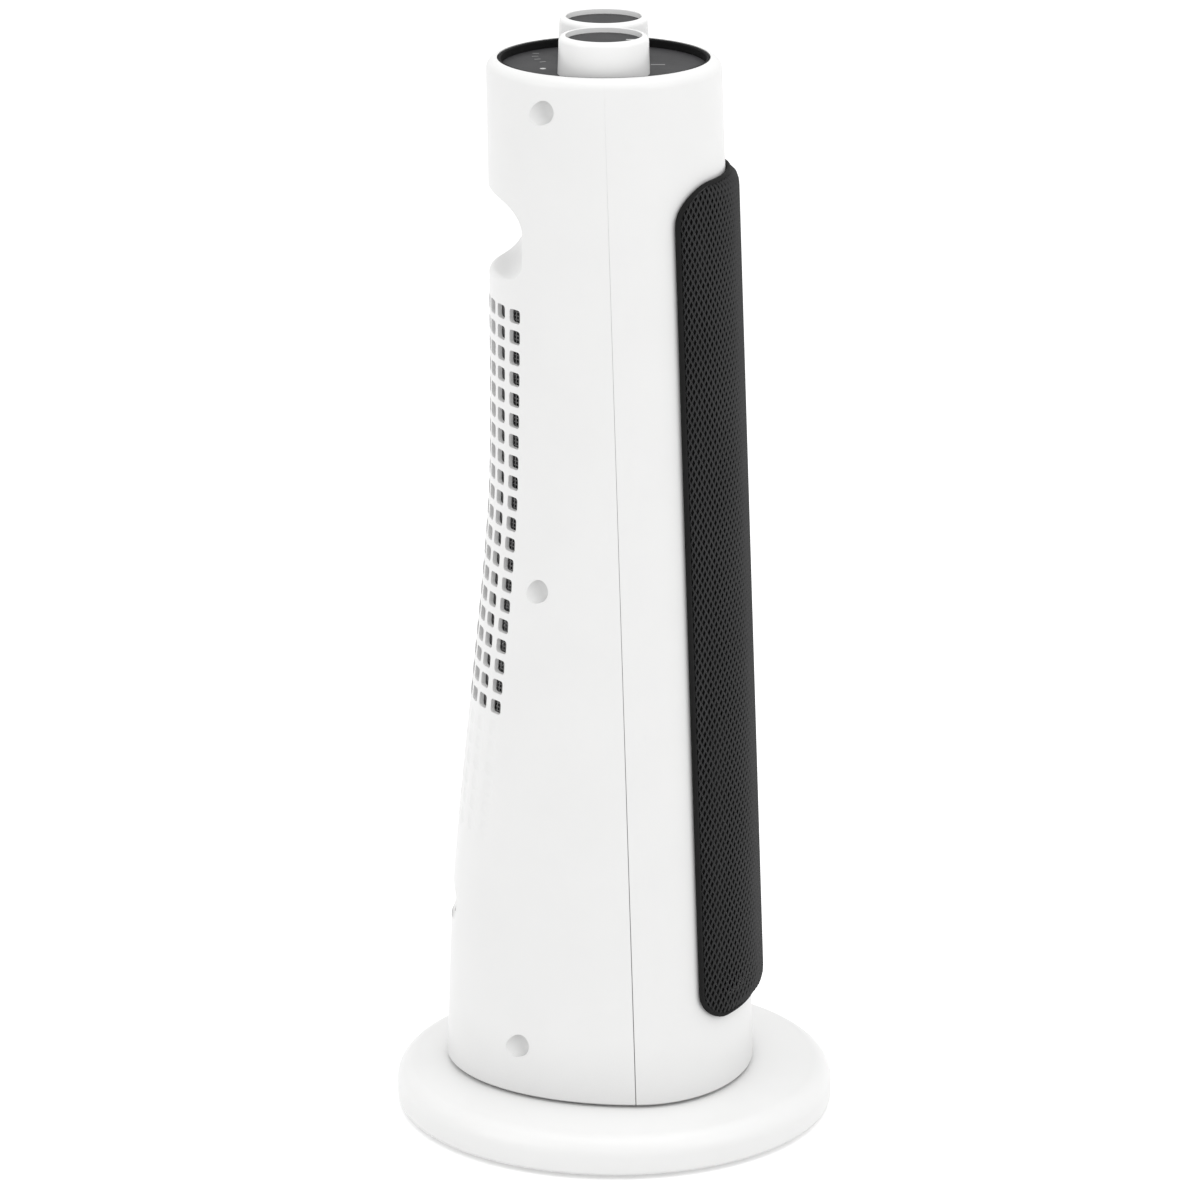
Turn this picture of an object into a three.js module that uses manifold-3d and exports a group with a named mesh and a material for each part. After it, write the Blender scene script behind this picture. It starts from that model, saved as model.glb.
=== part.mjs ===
// Oscillating ceramic tower heater: a tapered two-part tower that swings on a round weighted base.
// Millimetres, +Z up, the origin under the middle of the base. The front looks along -Y.
// The tower swings about the Z axis. The cross-flow fan turns about an upright axis behind it.

import * as THREE from 'three';
import { mergeGeometries, mergeVertices } from 'three/addons/utils/BufferGeometryUtils.js';
import Module from 'manifold-3d';

const wasm = await Module();
wasm.setup();

// Clearances and cutting
const SEAT_GAP = 0.3; // between pieces that touch
const SHAFT_GAP = 0.3; // around a shaft or a screw in its hole
const OVERRUN = 20; // how far a cutter runs past what it cuts
const FUSE = 0.4; // how far joined features run into each other
const FACETING = 1.9; // half the facets round a radius of 1 mm; they grow with its square root
const FEWEST_SIDES = 8;
const LEAST_MITRE_SHARE = 0.3;
const FULL_TURN = Math.PI * 2;
const QUARTER_TURN = Math.PI / 2;
const HALF_TURN_DEG = 180;

// Base
const BASE_RADIUS = 90;
const BASE_TOP_HEIGHT = 20;
const BASE_WALL = 2.5;
const BASE_EDGE_ROUND = 8;
const BASE_EDGE_STEPS = 3;
const BASE_TOE_ROUND = 2;
const BASE_TOE_STEPS = 2;
const BASE_DOME_DROP = 2.4;
const BASE_DOME_SHARE = 0.55; // where the dome's middle point lies on its way out
const BASE_FLAT_RADIUS = 60;
const BASE_PLATE_THICK = 2.2;
const PAD_RADIUS = 7;
const PAD_HEIGHT = 1.5;
const PAD_BEVEL = 0.4;
const PAD_COUNT = 4;
const PAD_CIRCLE_SHARE = 0.82;
const WEIGHT_THICK = 4;
const WEIGHT_GAP = 4;
const WEIGHT_NOTCH_DEG = 32;

// Swing bearing between the base and the tower
const SPIGOT_RADIUS = 47.4;
const SPIGOT_WALL = 2.8;
const COLLAR_WALL = 2.5;
const COLLAR_GAP = 0.6;
const GLIDE_THICK = 0.5;
const GLIDE_WIDTH = 4;
const RING_THICK = 1.5;
const RING_WIDTH = 16.5;
const RING_OVERLAP = 2.5;
const RING_SCREW_COUNT = 3;
const RING_SCREW_START_DEG = 200;
const RING_SCREW_STEP_DEG = 70;
const RING_BOSS_RADIUS = 3.5;
const RING_CLEARANCE = 2.6;
const WIRE_HOLE_RADIUS = 8;

// Swing drive
const CRANK_SHIFT = 19;
const CRANK_THROW = 10.9;
const CRANK_THICK = 2.5;
const CRANK_HUB_RADIUS = 5.5;
const PIN_RADIUS = 2;
const PIN_SIDE_GAP = 1.3;
const YOKE_THICK = 2.8;
const YOKE_HUB_RADIUS = 9;
const YOKE_EDGE = 3;
const YOKE_DROP = 1.8;
const SHAFT_RADIUS = 3;
const SWING_MOTOR_RADIUS = 24.5;
const SWING_MOTOR_HEIGHT = 21;
const SWING_MOTOR_BEVEL = 1.5;
const MOTOR_LUG_REACH = 31.5;
const MOTOR_LUG_THICK = 1.2;
const MOTOR_LUG_WIDTH = 9;
const MOTOR_LUG_HOLE_RADIUS = 2;

// Tip-over switch
const TIP_PLACE_SHARE = 0.473; // of the way from the collar to the base's wall
const TIP_TRAVEL = 3;
const PLUNGER_RADIUS = 3.2;
const PLUNGER_FLANGE_RADIUS = 4.6;
const PLUNGER_FLANGE_THICK = 1;
const PLUNGER_NOSE_RADIUS = 1.5;
const PLUNGER_NOSE_HEIGHT = 0.5;
const TIP_SWITCH_SIZE = { x: 10, y: 20, z: 6 };
const TIP_POST_RADIUS = 2.2;
const TIP_TERMINAL = { x: 5, y: 2.6, z: 0.8 };
const TIP_TERMINAL_COUNT = 3;

// Tower skin, measured from the swing axis
const TOWER_HEIGHT = 417.9;
const HEAD_RADIUS = 46.4;
const HEAD_SHIFT = 4.5;
const FOOT_HALF_WIDTH = 62.5;
const FOOT_FRONT_REACH = 57.5;
const FOOT_REAR_REACH = 69.2;
const SEAM_FOOT_SHIFT = -8.6;
const SHELL_WALL = 2.4;
const SEAM_GAP = 0.3;
const RIM_ROUND = 4.4;
const RIM_ROUND_STEPS = 3;
const SKIN_SEGMENTS = 36;
const CAVITY_SEGMENTS = 24;
// Height share, and the share of the way from the head's rear reach to the foot's
const REAR_SWELL_SHARES = [
  [0, 1],
  [0.115, 0.913],
  [0.177, 0.842],
  [0.251, 0.7],
  [0.394, 0.37],
  [0.536, 0.055],
  [0.617, -0.038],
  [0.871, -0.038],
  [1, 0],
];

// Top panel and its seat in the rim
const PANEL_SINK = 0.8;
const PANEL_LIP_HEIGHT = 2.6;
const PANEL_LIP_WALL = 1.2;
const PANEL_THICK = 2.2;
const PANEL_RADIUS = 41.7;
const LEDGE_WIDTH = 3.5;
const LEDGE_THICK = 2;
const PANEL_BOSS_RADIUS = 3;
const PANEL_BOSS_HEIGHT = 6.3;
const PANEL_BOSS_X = 27;
const PANEL_BOSS_Y = 21;
const BRACKET_HALF_WIDTH = 29;
const BRACKET_HALF_DEPTH = 25;
const BRACKET_THICK = 1.5;

// Knobs and what they turn
const KNOB_SPACING = 38.4;
const KNOB_RADIUS = 18;
const KNOB_HEIGHT = 15.1;
const KNOB_TAPER = 0.4;
const KNOB_ROUND = 2.2;
const KNOB_ROUND_STEPS = 3;
const KNOB_WALL = 3;
const KNOB_WEB = 2.2;
const KNOB_LIFT = 0.8;
const KNOB_BOSS_RADIUS = 5.5;
const CAP_SINK = 1.9;
const CAP_THICK = 1.5;
const CAP_BEVEL = 0.4;
const COLLAR_RADIUS = 4.5;
const COLLAR_HEIGHT = 3.6;
const SHAFT_DEPTH = 8.4;
const MODE_SWITCH_WIDTH = 22;
const MODE_SWITCH_HEIGHT = 18;
const THERMOSTAT_RADIUS = 11;
const THERMOSTAT_HEIGHT = 12;
const TERMINAL_SIZE = { x: 4.8, y: 0.8, z: 6 };
const MODE_TERMINALS = 4;
const THERMOSTAT_TERMINALS = 2;

// Grip recess in the rear
const GRIP_DROP = 52.4; // from the tower's top to the recess
const GRIP_HEIGHT = 31.3;
const GRIP_DEPTH = 13.9;
const GRIP_CEILING_ROUND = 12;
const GRIP_FLOOR_ROUND = 8;
const GRIP_ROUND_STEPS = 4;

// Air holes in the rear
const VENT_COLUMNS = 8;
const VENT_WIDTH = 6.8;
const VENT_HEIGHT = 5.6;
const VENT_COLUMN_PITCH = 8.9;
const VENT_ROW_PITCH = 8.48;
const VENT_DROP = 4.3; // of the top row below the fan's top
const VENT_WALL = 1.2;

// Shell screws: height share, and how far round behind the seam
const SHELL_SCREW_SHARES = [0.049, 0.506, 0.966];
const SHELL_SCREW_TURNS_DEG = [38, 36.5, 31.4];
const CUP_RADIUS = 4.8;
const CUP_DEPTH = 5;
const CUP_WALL = 1.6;
const TONGUE_THICK = 2.2;
const TONGUE_HEIGHT = 12;
const TONGUE_END = 4.4;
const TONGUE_ROOT = 7;
const COVER_GAP = 0.3;
const COVER_THICK = 1.2;
const SCREW_RADIUS = 1.5;
const SCREW_HEAD_RADIUS = 3;
const SCREW_HEAD_HEIGHT = 1.6;
const SCREW_TAIL = 6;

// Cord gland
const GLAND_HEIGHT = 68;
const GLAND_RECESS_RADIUS = 7;
const GLAND_RECESS_DEPTH = 2.3;
const GLAND_FLANGE_THICK = 1;
const GLAND_STEM_RADIUS = 5.2;
const GLAND_BORE_RADIUS = 3.7;
const GLAND_BOSS_WALL = 2.5;
const GLAND_TAIL = 4;

// Front grille and the window behind it
const GRILLE_BOTTOM = 32;
const GRILLE_DROP = 44.7; // from the tower's top
const GRILLE_HALF_ANGLE_DEG = 56;
const GRILLE_EDGE_PROUD = 2;
const GRILLE_CROWN = 3.4;
const GRILLE_THICK = 1.8;
const GRILLE_END_ROUND = 6;
const GRILLE_TOP_CORNER = 15;
const GRILLE_BOTTOM_CORNER = 11;
const GRILLE_ACROSS = 10;
const GRILLE_SPREAD_SHARE = 1.1; // how far round the panel is drawn before it is trimmed
const GRILLE_END_SHARES = [0, 0.3, 1];
const GRILLE_LEDGE = 5;
const GRILLE_BORDER = 6;
const MESH_COLUMN_PITCH = 15.5;
const MESH_ROW_PITCH = 22;
const MESH_STRAND = 2.6;
const WINDOW_CORNER = 10;
const WINDOW_START_SHARE = 0.42;

// Air path and fan
const FAN_SHIFT = 17.5;
const FAN_RADIUS = 26;
const FAN_BOTTOM = 154.4;
const FAN_DISC_THICK = 1.6;
const FAN_HUB_RADIUS = 7;
const FAN_HUB_HEIGHT = 14;
const BLADE_COUNT = 20;
const BLADE_CHORD = 9;
const BLADE_THICK = 1.2;
const BLADE_TILT_DEG = 38;
const BLADE_BULGE = 1.8;
const FAN_RING_SHARE = 0.8; // of the blades' chord that the middle ring spans
const STUB_RADIUS = 2.5;
const STUB_LENGTH = 6.6;
const PLATE_THICK = 2.4;
const PLATE_DROP = 3.1;
const PLATE_RISE = 3.3;
const BEARING_ROOM = 1.2; // between the bearing plate and the grip's lining
const DUCT_WALL = 1.8;
const DUCT_REACH = 33.5;
const DUCT_FAN_GAP = 3;
const CHEEK_REACH = 42;
const SHIELD_LAP = 1;
const SHIELD_INSET = 1.5;
const SCROLL_TURNS_DEG = [166, 178, 192, 206];
const SCROLL_REACH_SHARES = [1.02, 1.05, 1.1, 1.16];
const SCROLL_END_DEG = 163;
const TONGUE_TURNS_DEG = [316, 328, 340];
const TONGUE_REACH_SHARES = [1.04, 1.01, 1.06];
const TONGUE_END_DEG = 346;
const MASK_INSET = 4.6;
const MASK_HALF_ANGLE_DEG = 50;
const MASK_STEPS = 6;
const BUSH_RADIUS = 6;
const BUSH_FLANGE_RADIUS = 8;
const BUSH_FLANGE_THICK = 1;

// Heating element
const HEATER_HALF_WIDTH = 31;
const HEATER_DEPTH = 17;
const HEATER_FRONT = 30;
const HEATER_FRAME_WALL = 3;
const PTC_BAR_COUNT = 2;
const PTC_BAR_WIDTH = 2.6;
const PTC_INSET = 1.2;
const FIN_PACK_COUNT = 3;
const FIN_FOLDS = 18;
const FIN_THICK = 0.8;
const CUTOUT_RADIUS = 7;
const CUTOUT_HEIGHT = 6;
const CUTOUT_DROP = 30;
const FUSE_RADIUS = 2;
const FUSE_LENGTH = 12;

// Fan motor, hung under the air duct's floor
const CORE_HALF_WIDTH = 29;
const CORE_REAR = 21;
const CORE_FRONT = 43.5;
const CORE_THICK = 20;
const CORE_WINDOW_HALF_WIDTH = 18;
const CORE_LIMB = 12;
const CORE_WINDOW_DEPTH = 11;
const ROTOR_RADIUS = 13;
const AIR_GAP = 0.4;
const COIL_HALF_WIDTH = 16;
const COIL_WRAP = 5.7;
const MOTOR_BRACKET_THICK = 2;
const MOTOR_BRACKET_HALF_WIDTH = 26;
const MOTOR_BRACKET_HALF_DEPTH = 7;
const MOTOR_CUP_RADIUS = 8;
const MOTOR_CUP_HEIGHT = 5.5;
const MOTOR_HANG = 7.4;
const MOTOR_SCREW_X = 22;
const MOTOR_SCREW_RADIUS = 2;
const MOTOR_SCREW_HEAD_RADIUS = 3.6;
const MOTOR_SCREW_HEAD_HEIGHT = 2;
const MOTOR_BOSS_RADIUS = 4;
const MOTOR_SCREW_BITE = 5;

// Heights that follow from the sizes above
const PLATE_LOW = PAD_HEIGHT + SEAT_GAP;
const PLATE_HIGH = PLATE_LOW + BASE_PLATE_THICK;
const TOWER_BOTTOM = BASE_TOP_HEIGHT + GLIDE_THICK + SEAT_GAP * 2;
const TOWER_TOP = TOWER_BOTTOM + TOWER_HEIGHT;
const COLLAR_OUTER_RADIUS = SPIGOT_RADIUS + COLLAR_GAP + COLLAR_WALL;
const RING_LOW = PLATE_HIGH + RING_CLEARANCE;
const RING_HIGH = RING_LOW + RING_THICK;
const SPIGOT_LOW = RING_HIGH + SEAT_GAP;
const FOOT_PLATE_HIGH = TOWER_BOTTOM + SHELL_WALL + COLLAR_GAP;
const PANEL_LIP_HIGH = TOWER_TOP - PANEL_SINK;
const PANEL_HIGH = PANEL_LIP_HIGH - PANEL_LIP_HEIGHT;
const PANEL_LOW = PANEL_HIGH - PANEL_THICK;
const LEDGE_HIGH = PANEL_LOW - SEAT_GAP;
const LEDGE_LOW = LEDGE_HIGH - LEDGE_THICK;
const BRACKET_HIGH = PANEL_LOW - PANEL_BOSS_HEIGHT - SEAT_GAP;
const BRACKET_LOW = BRACKET_HIGH - BRACKET_THICK;
const KNOB_LOW = PANEL_HIGH + KNOB_LIFT;
const KNOB_HIGH = KNOB_LOW + KNOB_HEIGHT;
const CAP_HIGH = KNOB_HIGH - CAP_SINK;
const CAP_LOW = CAP_HIGH - CAP_THICK;
const KNOB_WEB_HIGH = CAP_LOW - SEAT_GAP;
const KNOB_WEB_LOW = KNOB_WEB_HIGH - KNOB_WEB;
const GRIP_CEILING = TOWER_TOP - GRIP_DROP;
const GRIP_FLOOR = GRIP_CEILING - GRIP_HEIGHT;
const GRILLE_LOW = TOWER_BOTTOM + GRILLE_BOTTOM;
const GRILLE_HIGH = TOWER_TOP - GRILLE_DROP;
const BEARING_PLATE_HIGH = GRIP_FLOOR - SHELL_WALL - BEARING_ROOM;
const BEARING_PLATE_LOW = BEARING_PLATE_HIGH - PLATE_THICK;
const FAN_LOW = TOWER_BOTTOM + FAN_BOTTOM;
const FAN_HIGH = BEARING_PLATE_LOW - PLATE_RISE;
const VENT_ROWS = Math.floor((FAN_HIGH - FAN_LOW) / VENT_ROW_PITCH);
const DUCT_FLOOR_HIGH = FAN_LOW - PLATE_DROP;
const DUCT_FLOOR_LOW = DUCT_FLOOR_HIGH - PLATE_THICK;
const CORE_HIGH = DUCT_FLOOR_LOW - MOTOR_HANG - MOTOR_BRACKET_THICK - SEAT_GAP * 2;
const CORE_LOW = CORE_HIGH - CORE_THICK;
const BORE_RADIUS = SHAFT_RADIUS + SHAFT_GAP;

const radians = (degrees) => degrees * Math.PI / HALF_TURN_DEG;
const blend = (from, to, share) => from + (to - from) * share;
const sidesFor = (radius) => Math.max(Math.round(FACETING * Math.sqrt(radius)) * 2, FEWEST_SIDES);
const TIP_SHIFT = blend(COLLAR_OUTER_RADIUS, BASE_RADIUS - BASE_WALL, TIP_PLACE_SHARE);
// The corner radius of a bore whose flats lie at the given radius
const flatsAt = (radius) => radius / Math.cos(Math.PI / sidesFor(radius));
const through = (radius, low, high, x, y) => rod(flatsAt(radius), low - OVERRUN, high + OVERRUN, x, y);

// Joins a closed shape's corners, drops faces with no area and turns the rest outwards.
function closed(geometry) {
  geometry.deleteAttribute('normal');
  geometry.deleteAttribute('uv');
  const merged = mergeVertices(geometry);
  const index = merged.index.array;
  const kept = [];
  for (let i = 0; i < index.length; i += 3) {
    const [a, b, c] = [index[i], index[i + 1], index[i + 2]];
    if (a !== b && b !== c && c !== a) kept.push(a, b, c);
  }
  const corner = (i) => new THREE.Vector3().fromBufferAttribute(merged.attributes.position, i);
  let volume = 0;
  for (let i = 0; i < kept.length; i += 3) {
    volume += corner(kept[i]).dot(corner(kept[i + 1]).cross(corner(kept[i + 2])));
  }
  merged.setIndex(volume < 0 ? kept.reverse() : kept);
  return merged;
}

// A closed shape as a solid that can be joined and cut.
function solid(geometry) {
  const shape = closed(geometry);
  return new wasm.Manifold(new wasm.Mesh({
    numProp: 3,
    vertProperties: new Float32Array(shape.attributes.position.array),
    triVerts: new Uint32Array(shape.index.array),
  }));
}

function geometryOf(body) {
  const mesh = body.getMesh();
  const geometry = new THREE.BufferGeometry();
  geometry.setAttribute('position', new THREE.BufferAttribute(new Float32Array(mesh.vertProperties), 3));
  geometry.setIndex(new THREE.BufferAttribute(new Uint32Array(mesh.triVerts), 1));
  return geometry;
}

const joined = (bodies) => bodies.reduce((whole, body) => whole.add(body));
const cut = (body, cutters) => cutters.reduce((rest, cutter) => rest.subtract(cutter), body);

// Basic solids
function block(low, high) {
  const size = high.map((value, i) => value - low[i]);
  const middle = high.map((value, i) => (value + low[i]) / 2);
  return solid(new THREE.BoxGeometry(...size).translate(...middle));
}

function rod(radius, low, high, x = 0, y = 0, sides = sidesFor(radius)) {
  const geometry = new THREE.CylinderGeometry(radius, radius, high - low, sides);
  return solid(geometry.rotateX(QUARTER_TURN).translate(x, y, (low + high) / 2));
}

function rodAlongX(radius, low, high, y, z) {
  const geometry = new THREE.CylinderGeometry(radius, radius, high - low, sidesFor(radius));
  return solid(geometry.rotateZ(QUARTER_TURN).translate((low + high) / 2, y, z));
}

function rodAlongY(radius, low, high, x, z) {
  const geometry = new THREE.CylinderGeometry(radius, radius, high - low, sidesFor(radius));
  return solid(geometry.translate(x, (low + high) / 2, z));
}

// Turns a profile of [radius, height] points about an upright axis.
function turned(profile, sides, x = 0, y = 0) {
  const points = profile.map(([radius, height]) => new THREE.Vector2(radius, height));
  return solid(new THREE.LatheGeometry(points, sides).rotateX(QUARTER_TURN).translate(x, y, 0));
}

function tube(outer, inner, low, high) {
  return turned([[inner, low], [outer, low], [outer, high], [inner, high], [inner, low]], sidesFor(outer));
}

function outline(points) {
  return new THREE.Shape(points.map(([x, y]) => new THREE.Vector2(x, y)));
}

function extruded(shape, low, high, curveSegments = 12) {
  const options = { depth: high - low, bevelEnabled: false, curveSegments };
  const geometry = new THREE.ExtrudeGeometry(shape, options);
  return solid(geometry.translate(0, 0, low));
}

// Extrudes a shape drawn across (X) and up (Z) along Y.
function extrudedAlongY(shape, low, high, curveSegments = 6) {
  const options = { depth: high - low, bevelEnabled: false, curveSegments };
  const geometry = new THREE.ExtrudeGeometry(shape, options);
  return solid(geometry.rotateX(QUARTER_TURN).translate(0, high, 0));
}

// Extrudes a shape drawn in depth (Y) and up (Z) along X.
function extrudedAlongX(shape, low, high, curveSegments = 6) {
  const options = { depth: high - low, bevelEnabled: false, curveSegments };
  const geometry = new THREE.ExtrudeGeometry(shape, options);
  return solid(geometry.rotateX(QUARTER_TURN).rotateZ(QUARTER_TURN).translate(low, 0, 0));
}

// A strip of even thickness along a bent line.
function strip(points, thickness) {
  const side = (sign) => points.map(([x, y], i) => {
    const before = points[Math.max(i - 1, 0)];
    const after = points[Math.min(i + 1, points.length - 1)];
    const into = new THREE.Vector2(x - before[0], y - before[1]).normalize();
    const out = new THREE.Vector2(after[0] - x, after[1] - y).normalize();
    const along = into.clone().add(out).normalize();
    const mitre = Math.max(along.dot(into.lengthSq() > 0 ? into : out), LEAST_MITRE_SHARE);
    const reach = thickness / 2 / mitre;
    return [x - along.y * reach * sign, y + along.x * reach * sign];
  });
  return outline([...side(1), ...side(-1).reverse()]);
}

// The tower's skin: at each height a half-ellipse in front of the seam and one behind it.
function smoothTable(table, at) {
  const last = table.length - 1;
  const found = table.findIndex(([start]) => start > at);
  const i = found < 0 ? last - 1 : Math.max(found - 1, 0);
  const slope = (k) => {
    const [before, after] = [table[Math.max(k - 1, 0)], table[Math.min(k + 1, last)]];
    return (after[1] - before[1]) / (after[0] - before[0]);
  };
  const [[x0, y0], [x1, y1]] = [table[i], table[i + 1]];
  const span = x1 - x0;
  const t = Math.min(Math.max((at - x0) / span, 0), 1);
  const rise = t * t * (3 - 2 * t);
  return blend(y0, y1, rise) + span * t * (1 - t) * ((1 - t) * slope(i) - t * slope(i + 1));
}

const heightShare = (z) => Math.min(Math.max((z - TOWER_BOTTOM) / TOWER_HEIGHT, 0), 1);
const seamAt = (z) => blend(SEAM_FOOT_SHIFT, HEAD_SHIFT, heightShare(z));
const halfWidthAt = (z) => blend(FOOT_HALF_WIDTH, HEAD_RADIUS, heightShare(z));
const frontAt = (z) => -blend(FOOT_FRONT_REACH, HEAD_RADIUS - HEAD_SHIFT, heightShare(z));

function rearAt(z) {
  return blend(HEAD_RADIUS + HEAD_SHIFT, FOOT_REAR_REACH, smoothTable(REAR_SWELL_SHARES, heightShare(z)));
}

// A point of the skin, turned from the side (0) over the rear (a quarter turn), moved out by proud.
function skinPoint(turn, z, proud = 0) {
  const seam = seamAt(z);
  const depth = Math.sin(turn) >= 0 ? rearAt(z) - seam : seam - frontAt(z);
  return [Math.cos(turn) * (halfWidthAt(z) + proud), seam + Math.sin(turn) * (depth + proud), z];
}

// A closed loft through stations of { z, proud }, each a ring of the skin.
function skinLoft(stations, segments) {
  const points = [];
  for (const { z, proud } of stations) {
    for (let i = 0; i < segments; i += 1) points.push(skinPoint(i / segments * FULL_TURN, z, proud));
  }
  const first = stations[0];
  const last = stations[stations.length - 1];
  points.push([0, seamAt(first.z), first.z], [0, seamAt(last.z), last.z]);
  const index = [];
  for (let k = 0; k < stations.length - 1; k += 1) {
    for (let i = 0; i < segments; i += 1) {
      const [a, b] = [k * segments + i, k * segments + (i + 1) % segments];
      index.push(a, b, b + segments, a, b + segments, a + segments);
    }
  }
  const topRow = (stations.length - 1) * segments;
  for (let i = 0; i < segments; i += 1) {
    const next = (i + 1) % segments;
    index.push(next, i, points.length - 2, topRow + i, topRow + next, points.length - 1);
  }
  const geometry = new THREE.BufferGeometry();
  geometry.setAttribute('position', new THREE.Float32BufferAttribute(points.flat(), 3));
  geometry.setIndex(index);
  return solid(geometry);
}

function skinStations(low, high, proud, every = 1) {
  const inner = REAR_SWELL_SHARES.filter((_, i) => i % every === 0)
    .map(([share]) => TOWER_BOTTOM + share * TOWER_HEIGHT);
  const spacing = TOWER_HEIGHT / REAR_SWELL_SHARES.length / 4;
  const heights = [low, ...inner.filter((z) => z > low + spacing && z < high - spacing), high];
  return heights.map((z) => ({ z, proud }));
}

function towerSkin() {
  const stations = skinStations(TOWER_BOTTOM, TOWER_TOP - RIM_ROUND, 0);
  for (let i = 1; i <= RIM_ROUND_STEPS; i += 1) {
    const turn = i / RIM_ROUND_STEPS * QUARTER_TURN;
    const inset = RIM_ROUND * (1 - Math.cos(turn));
    stations.push({ z: TOWER_TOP - RIM_ROUND * (1 - Math.sin(turn)), proud: -inset });
  }
  return skinLoft(stations, SKIN_SEGMENTS);
}

// What the seam plane leaves of the skin, in front of it (-1) or behind it (1).
function seamHalf(side) {
  const reach = TOWER_HEIGHT + OVERRUN;
  const middle = TOWER_BOTTOM + TOWER_HEIGHT / 2;
  const slope = Math.atan2(HEAD_SHIFT - SEAM_FOOT_SHIFT, TOWER_HEIGHT);
  const depth = FOOT_REAR_REACH + OVERRUN;
  const geometry = new THREE.BoxGeometry(FOOT_HALF_WIDTH * 2 + OVERRUN, depth, reach);
  geometry.translate(0, side * (depth + SEAM_GAP) / 2, 0).rotateX(-slope);
  return solid(geometry.translate(0, seamAt(middle), middle));
}

// A slice of the tower's inside, as a plate that fits the shells all round.
function innerPlate(low, high) {
  const points = [];
  const segments = CAVITY_SEGMENTS;
  for (let i = 0; i < segments; i += 1) {
    points.push(skinPoint(i / segments * FULL_TURN, high, -SHELL_WALL - SEAT_GAP * 2));
  }
  return extruded(outline(points), low, high);
}

// The grip recess drawn in depth and height; grown by a wall for the lining behind it.
function gripShape(grow) {
  const rear = FOOT_REAR_REACH + OVERRUN;
  const back = rearAt((GRIP_FLOOR + GRIP_CEILING) / 2) - GRIP_DEPTH - grow;
  const floor = GRIP_FLOOR - grow;
  const ceiling = GRIP_CEILING + grow;
  const low = GRIP_FLOOR_ROUND + grow;
  const high = GRIP_CEILING_ROUND + grow;
  const shape = new THREE.Shape();
  shape.moveTo(rear, floor);
  shape.lineTo(rear, ceiling);
  shape.lineTo(back + high, ceiling);
  shape.absarc(back + high, ceiling - high, high, QUARTER_TURN, Math.PI);
  shape.lineTo(back, floor + low);
  shape.absarc(back + low, floor + low, low, Math.PI, Math.PI + QUARTER_TURN);
  return shape;
}

function gripCutter(grow) {
  return extrudedAlongX(gripShape(grow), -FOOT_HALF_WIDTH, FOOT_HALF_WIDTH, GRIP_ROUND_STEPS);
}

// Where each pair of shell screws goes in, on the skin
const shellScrews = SHELL_SCREW_SHARES.flatMap((share, row) => [-1, 1].map((side) => {
  const z = TOWER_BOTTOM + share * TOWER_HEIGHT;
  const [x, y] = skinPoint(radians(SHELL_SCREW_TURNS_DEG[row]), z);
  return { side, x, y, z };
}));

const cupFloor = (screw) => screw.x - CUP_DEPTH;
const tongueOuter = (screw) => cupFloor(screw) - CUP_WALL - SEAT_GAP;

// A rod that points in from the side of the tower on the screw's axis
function screwRod(screw, radius, inner, outer) {
  const ends = [inner * screw.side, outer * screw.side].sort((a, b) => a - b);
  return rodAlongX(radius, ends[0], ends[1], screw.y, screw.z);
}

function screwBoss(screw) {
  return screwRod(screw, CUP_RADIUS + CUP_WALL, cupFloor(screw) - CUP_WALL, screw.x + CUP_RADIUS);
}

function screwTongue(screw, inside, wallMiddle) {
  const outer = tongueOuter(screw);
  const inner = outer - TONGUE_THICK;
  const seam = seamAt(screw.z) - TONGUE_HEIGHT / 2 * (HEAD_SHIFT - SEAM_FOOT_SHIFT) / TOWER_HEIGHT;
  const [low, high] = [screw.z - TONGUE_HEIGHT / 2, screw.z + TONGUE_HEIGHT / 2];
  const across = (near, far) => [near * screw.side, far * screw.side].sort((a, b) => a - b);
  const plate = across(inner, outer);
  const root = across(inner, halfWidthAt(screw.z));
  const rootRear = seam - SEAM_GAP * 2;
  const arm = block([plate[0], rootRear - TONGUE_ROOT, low], [plate[1], screw.y + TONGUE_END, high]);
  const foot = block([root[0], rootRear - TONGUE_ROOT, low], [root[1], rootRear, high]);
  const hole = screwRod(screw, flatsAt(SCREW_RADIUS + SHAFT_GAP), inner - OVERRUN, outer + OVERRUN);
  return arm.intersect(inside).add(foot.intersect(wallMiddle)).subtract(hole);
}

// A screw under a moulded cover that fills the bottom of its cup
function shellScrew(screw) {
  const seat = cupFloor(screw) + SEAT_GAP;
  const head = screwRod(screw, CUP_RADIUS - COVER_GAP, seat, seat + COVER_THICK);
  const shank = screwRod(screw, SCREW_RADIUS, seat - SCREW_TAIL, seat + FUSE);
  return head.add(shank);
}

// Shells
function shellWhole() {
  const headDisc = (radius, low, high) => rod(radius, low, high, 0, HEAD_SHIFT, SKIN_SEGMENTS);
  const skin = towerSkin();
  const cavityStations = skinStations(TOWER_BOTTOM - OVERRUN, LEDGE_LOW, -SHELL_WALL, 2);
  const cavity = skinLoft(cavityStations, CAVITY_SEGMENTS).subtract(gripCutter(SHELL_WALL));
  const seat = headDisc(PANEL_RADIUS + SEAT_GAP, LEDGE_HIGH, TOWER_TOP + OVERRUN);
  const opening = headDisc(PANEL_RADIUS + SEAT_GAP - LEDGE_WIDTH, LEDGE_LOW - OVERRUN, TOWER_TOP);
  return cut(skin, [cavity, seat, opening, gripCutter(0)]);
}

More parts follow.
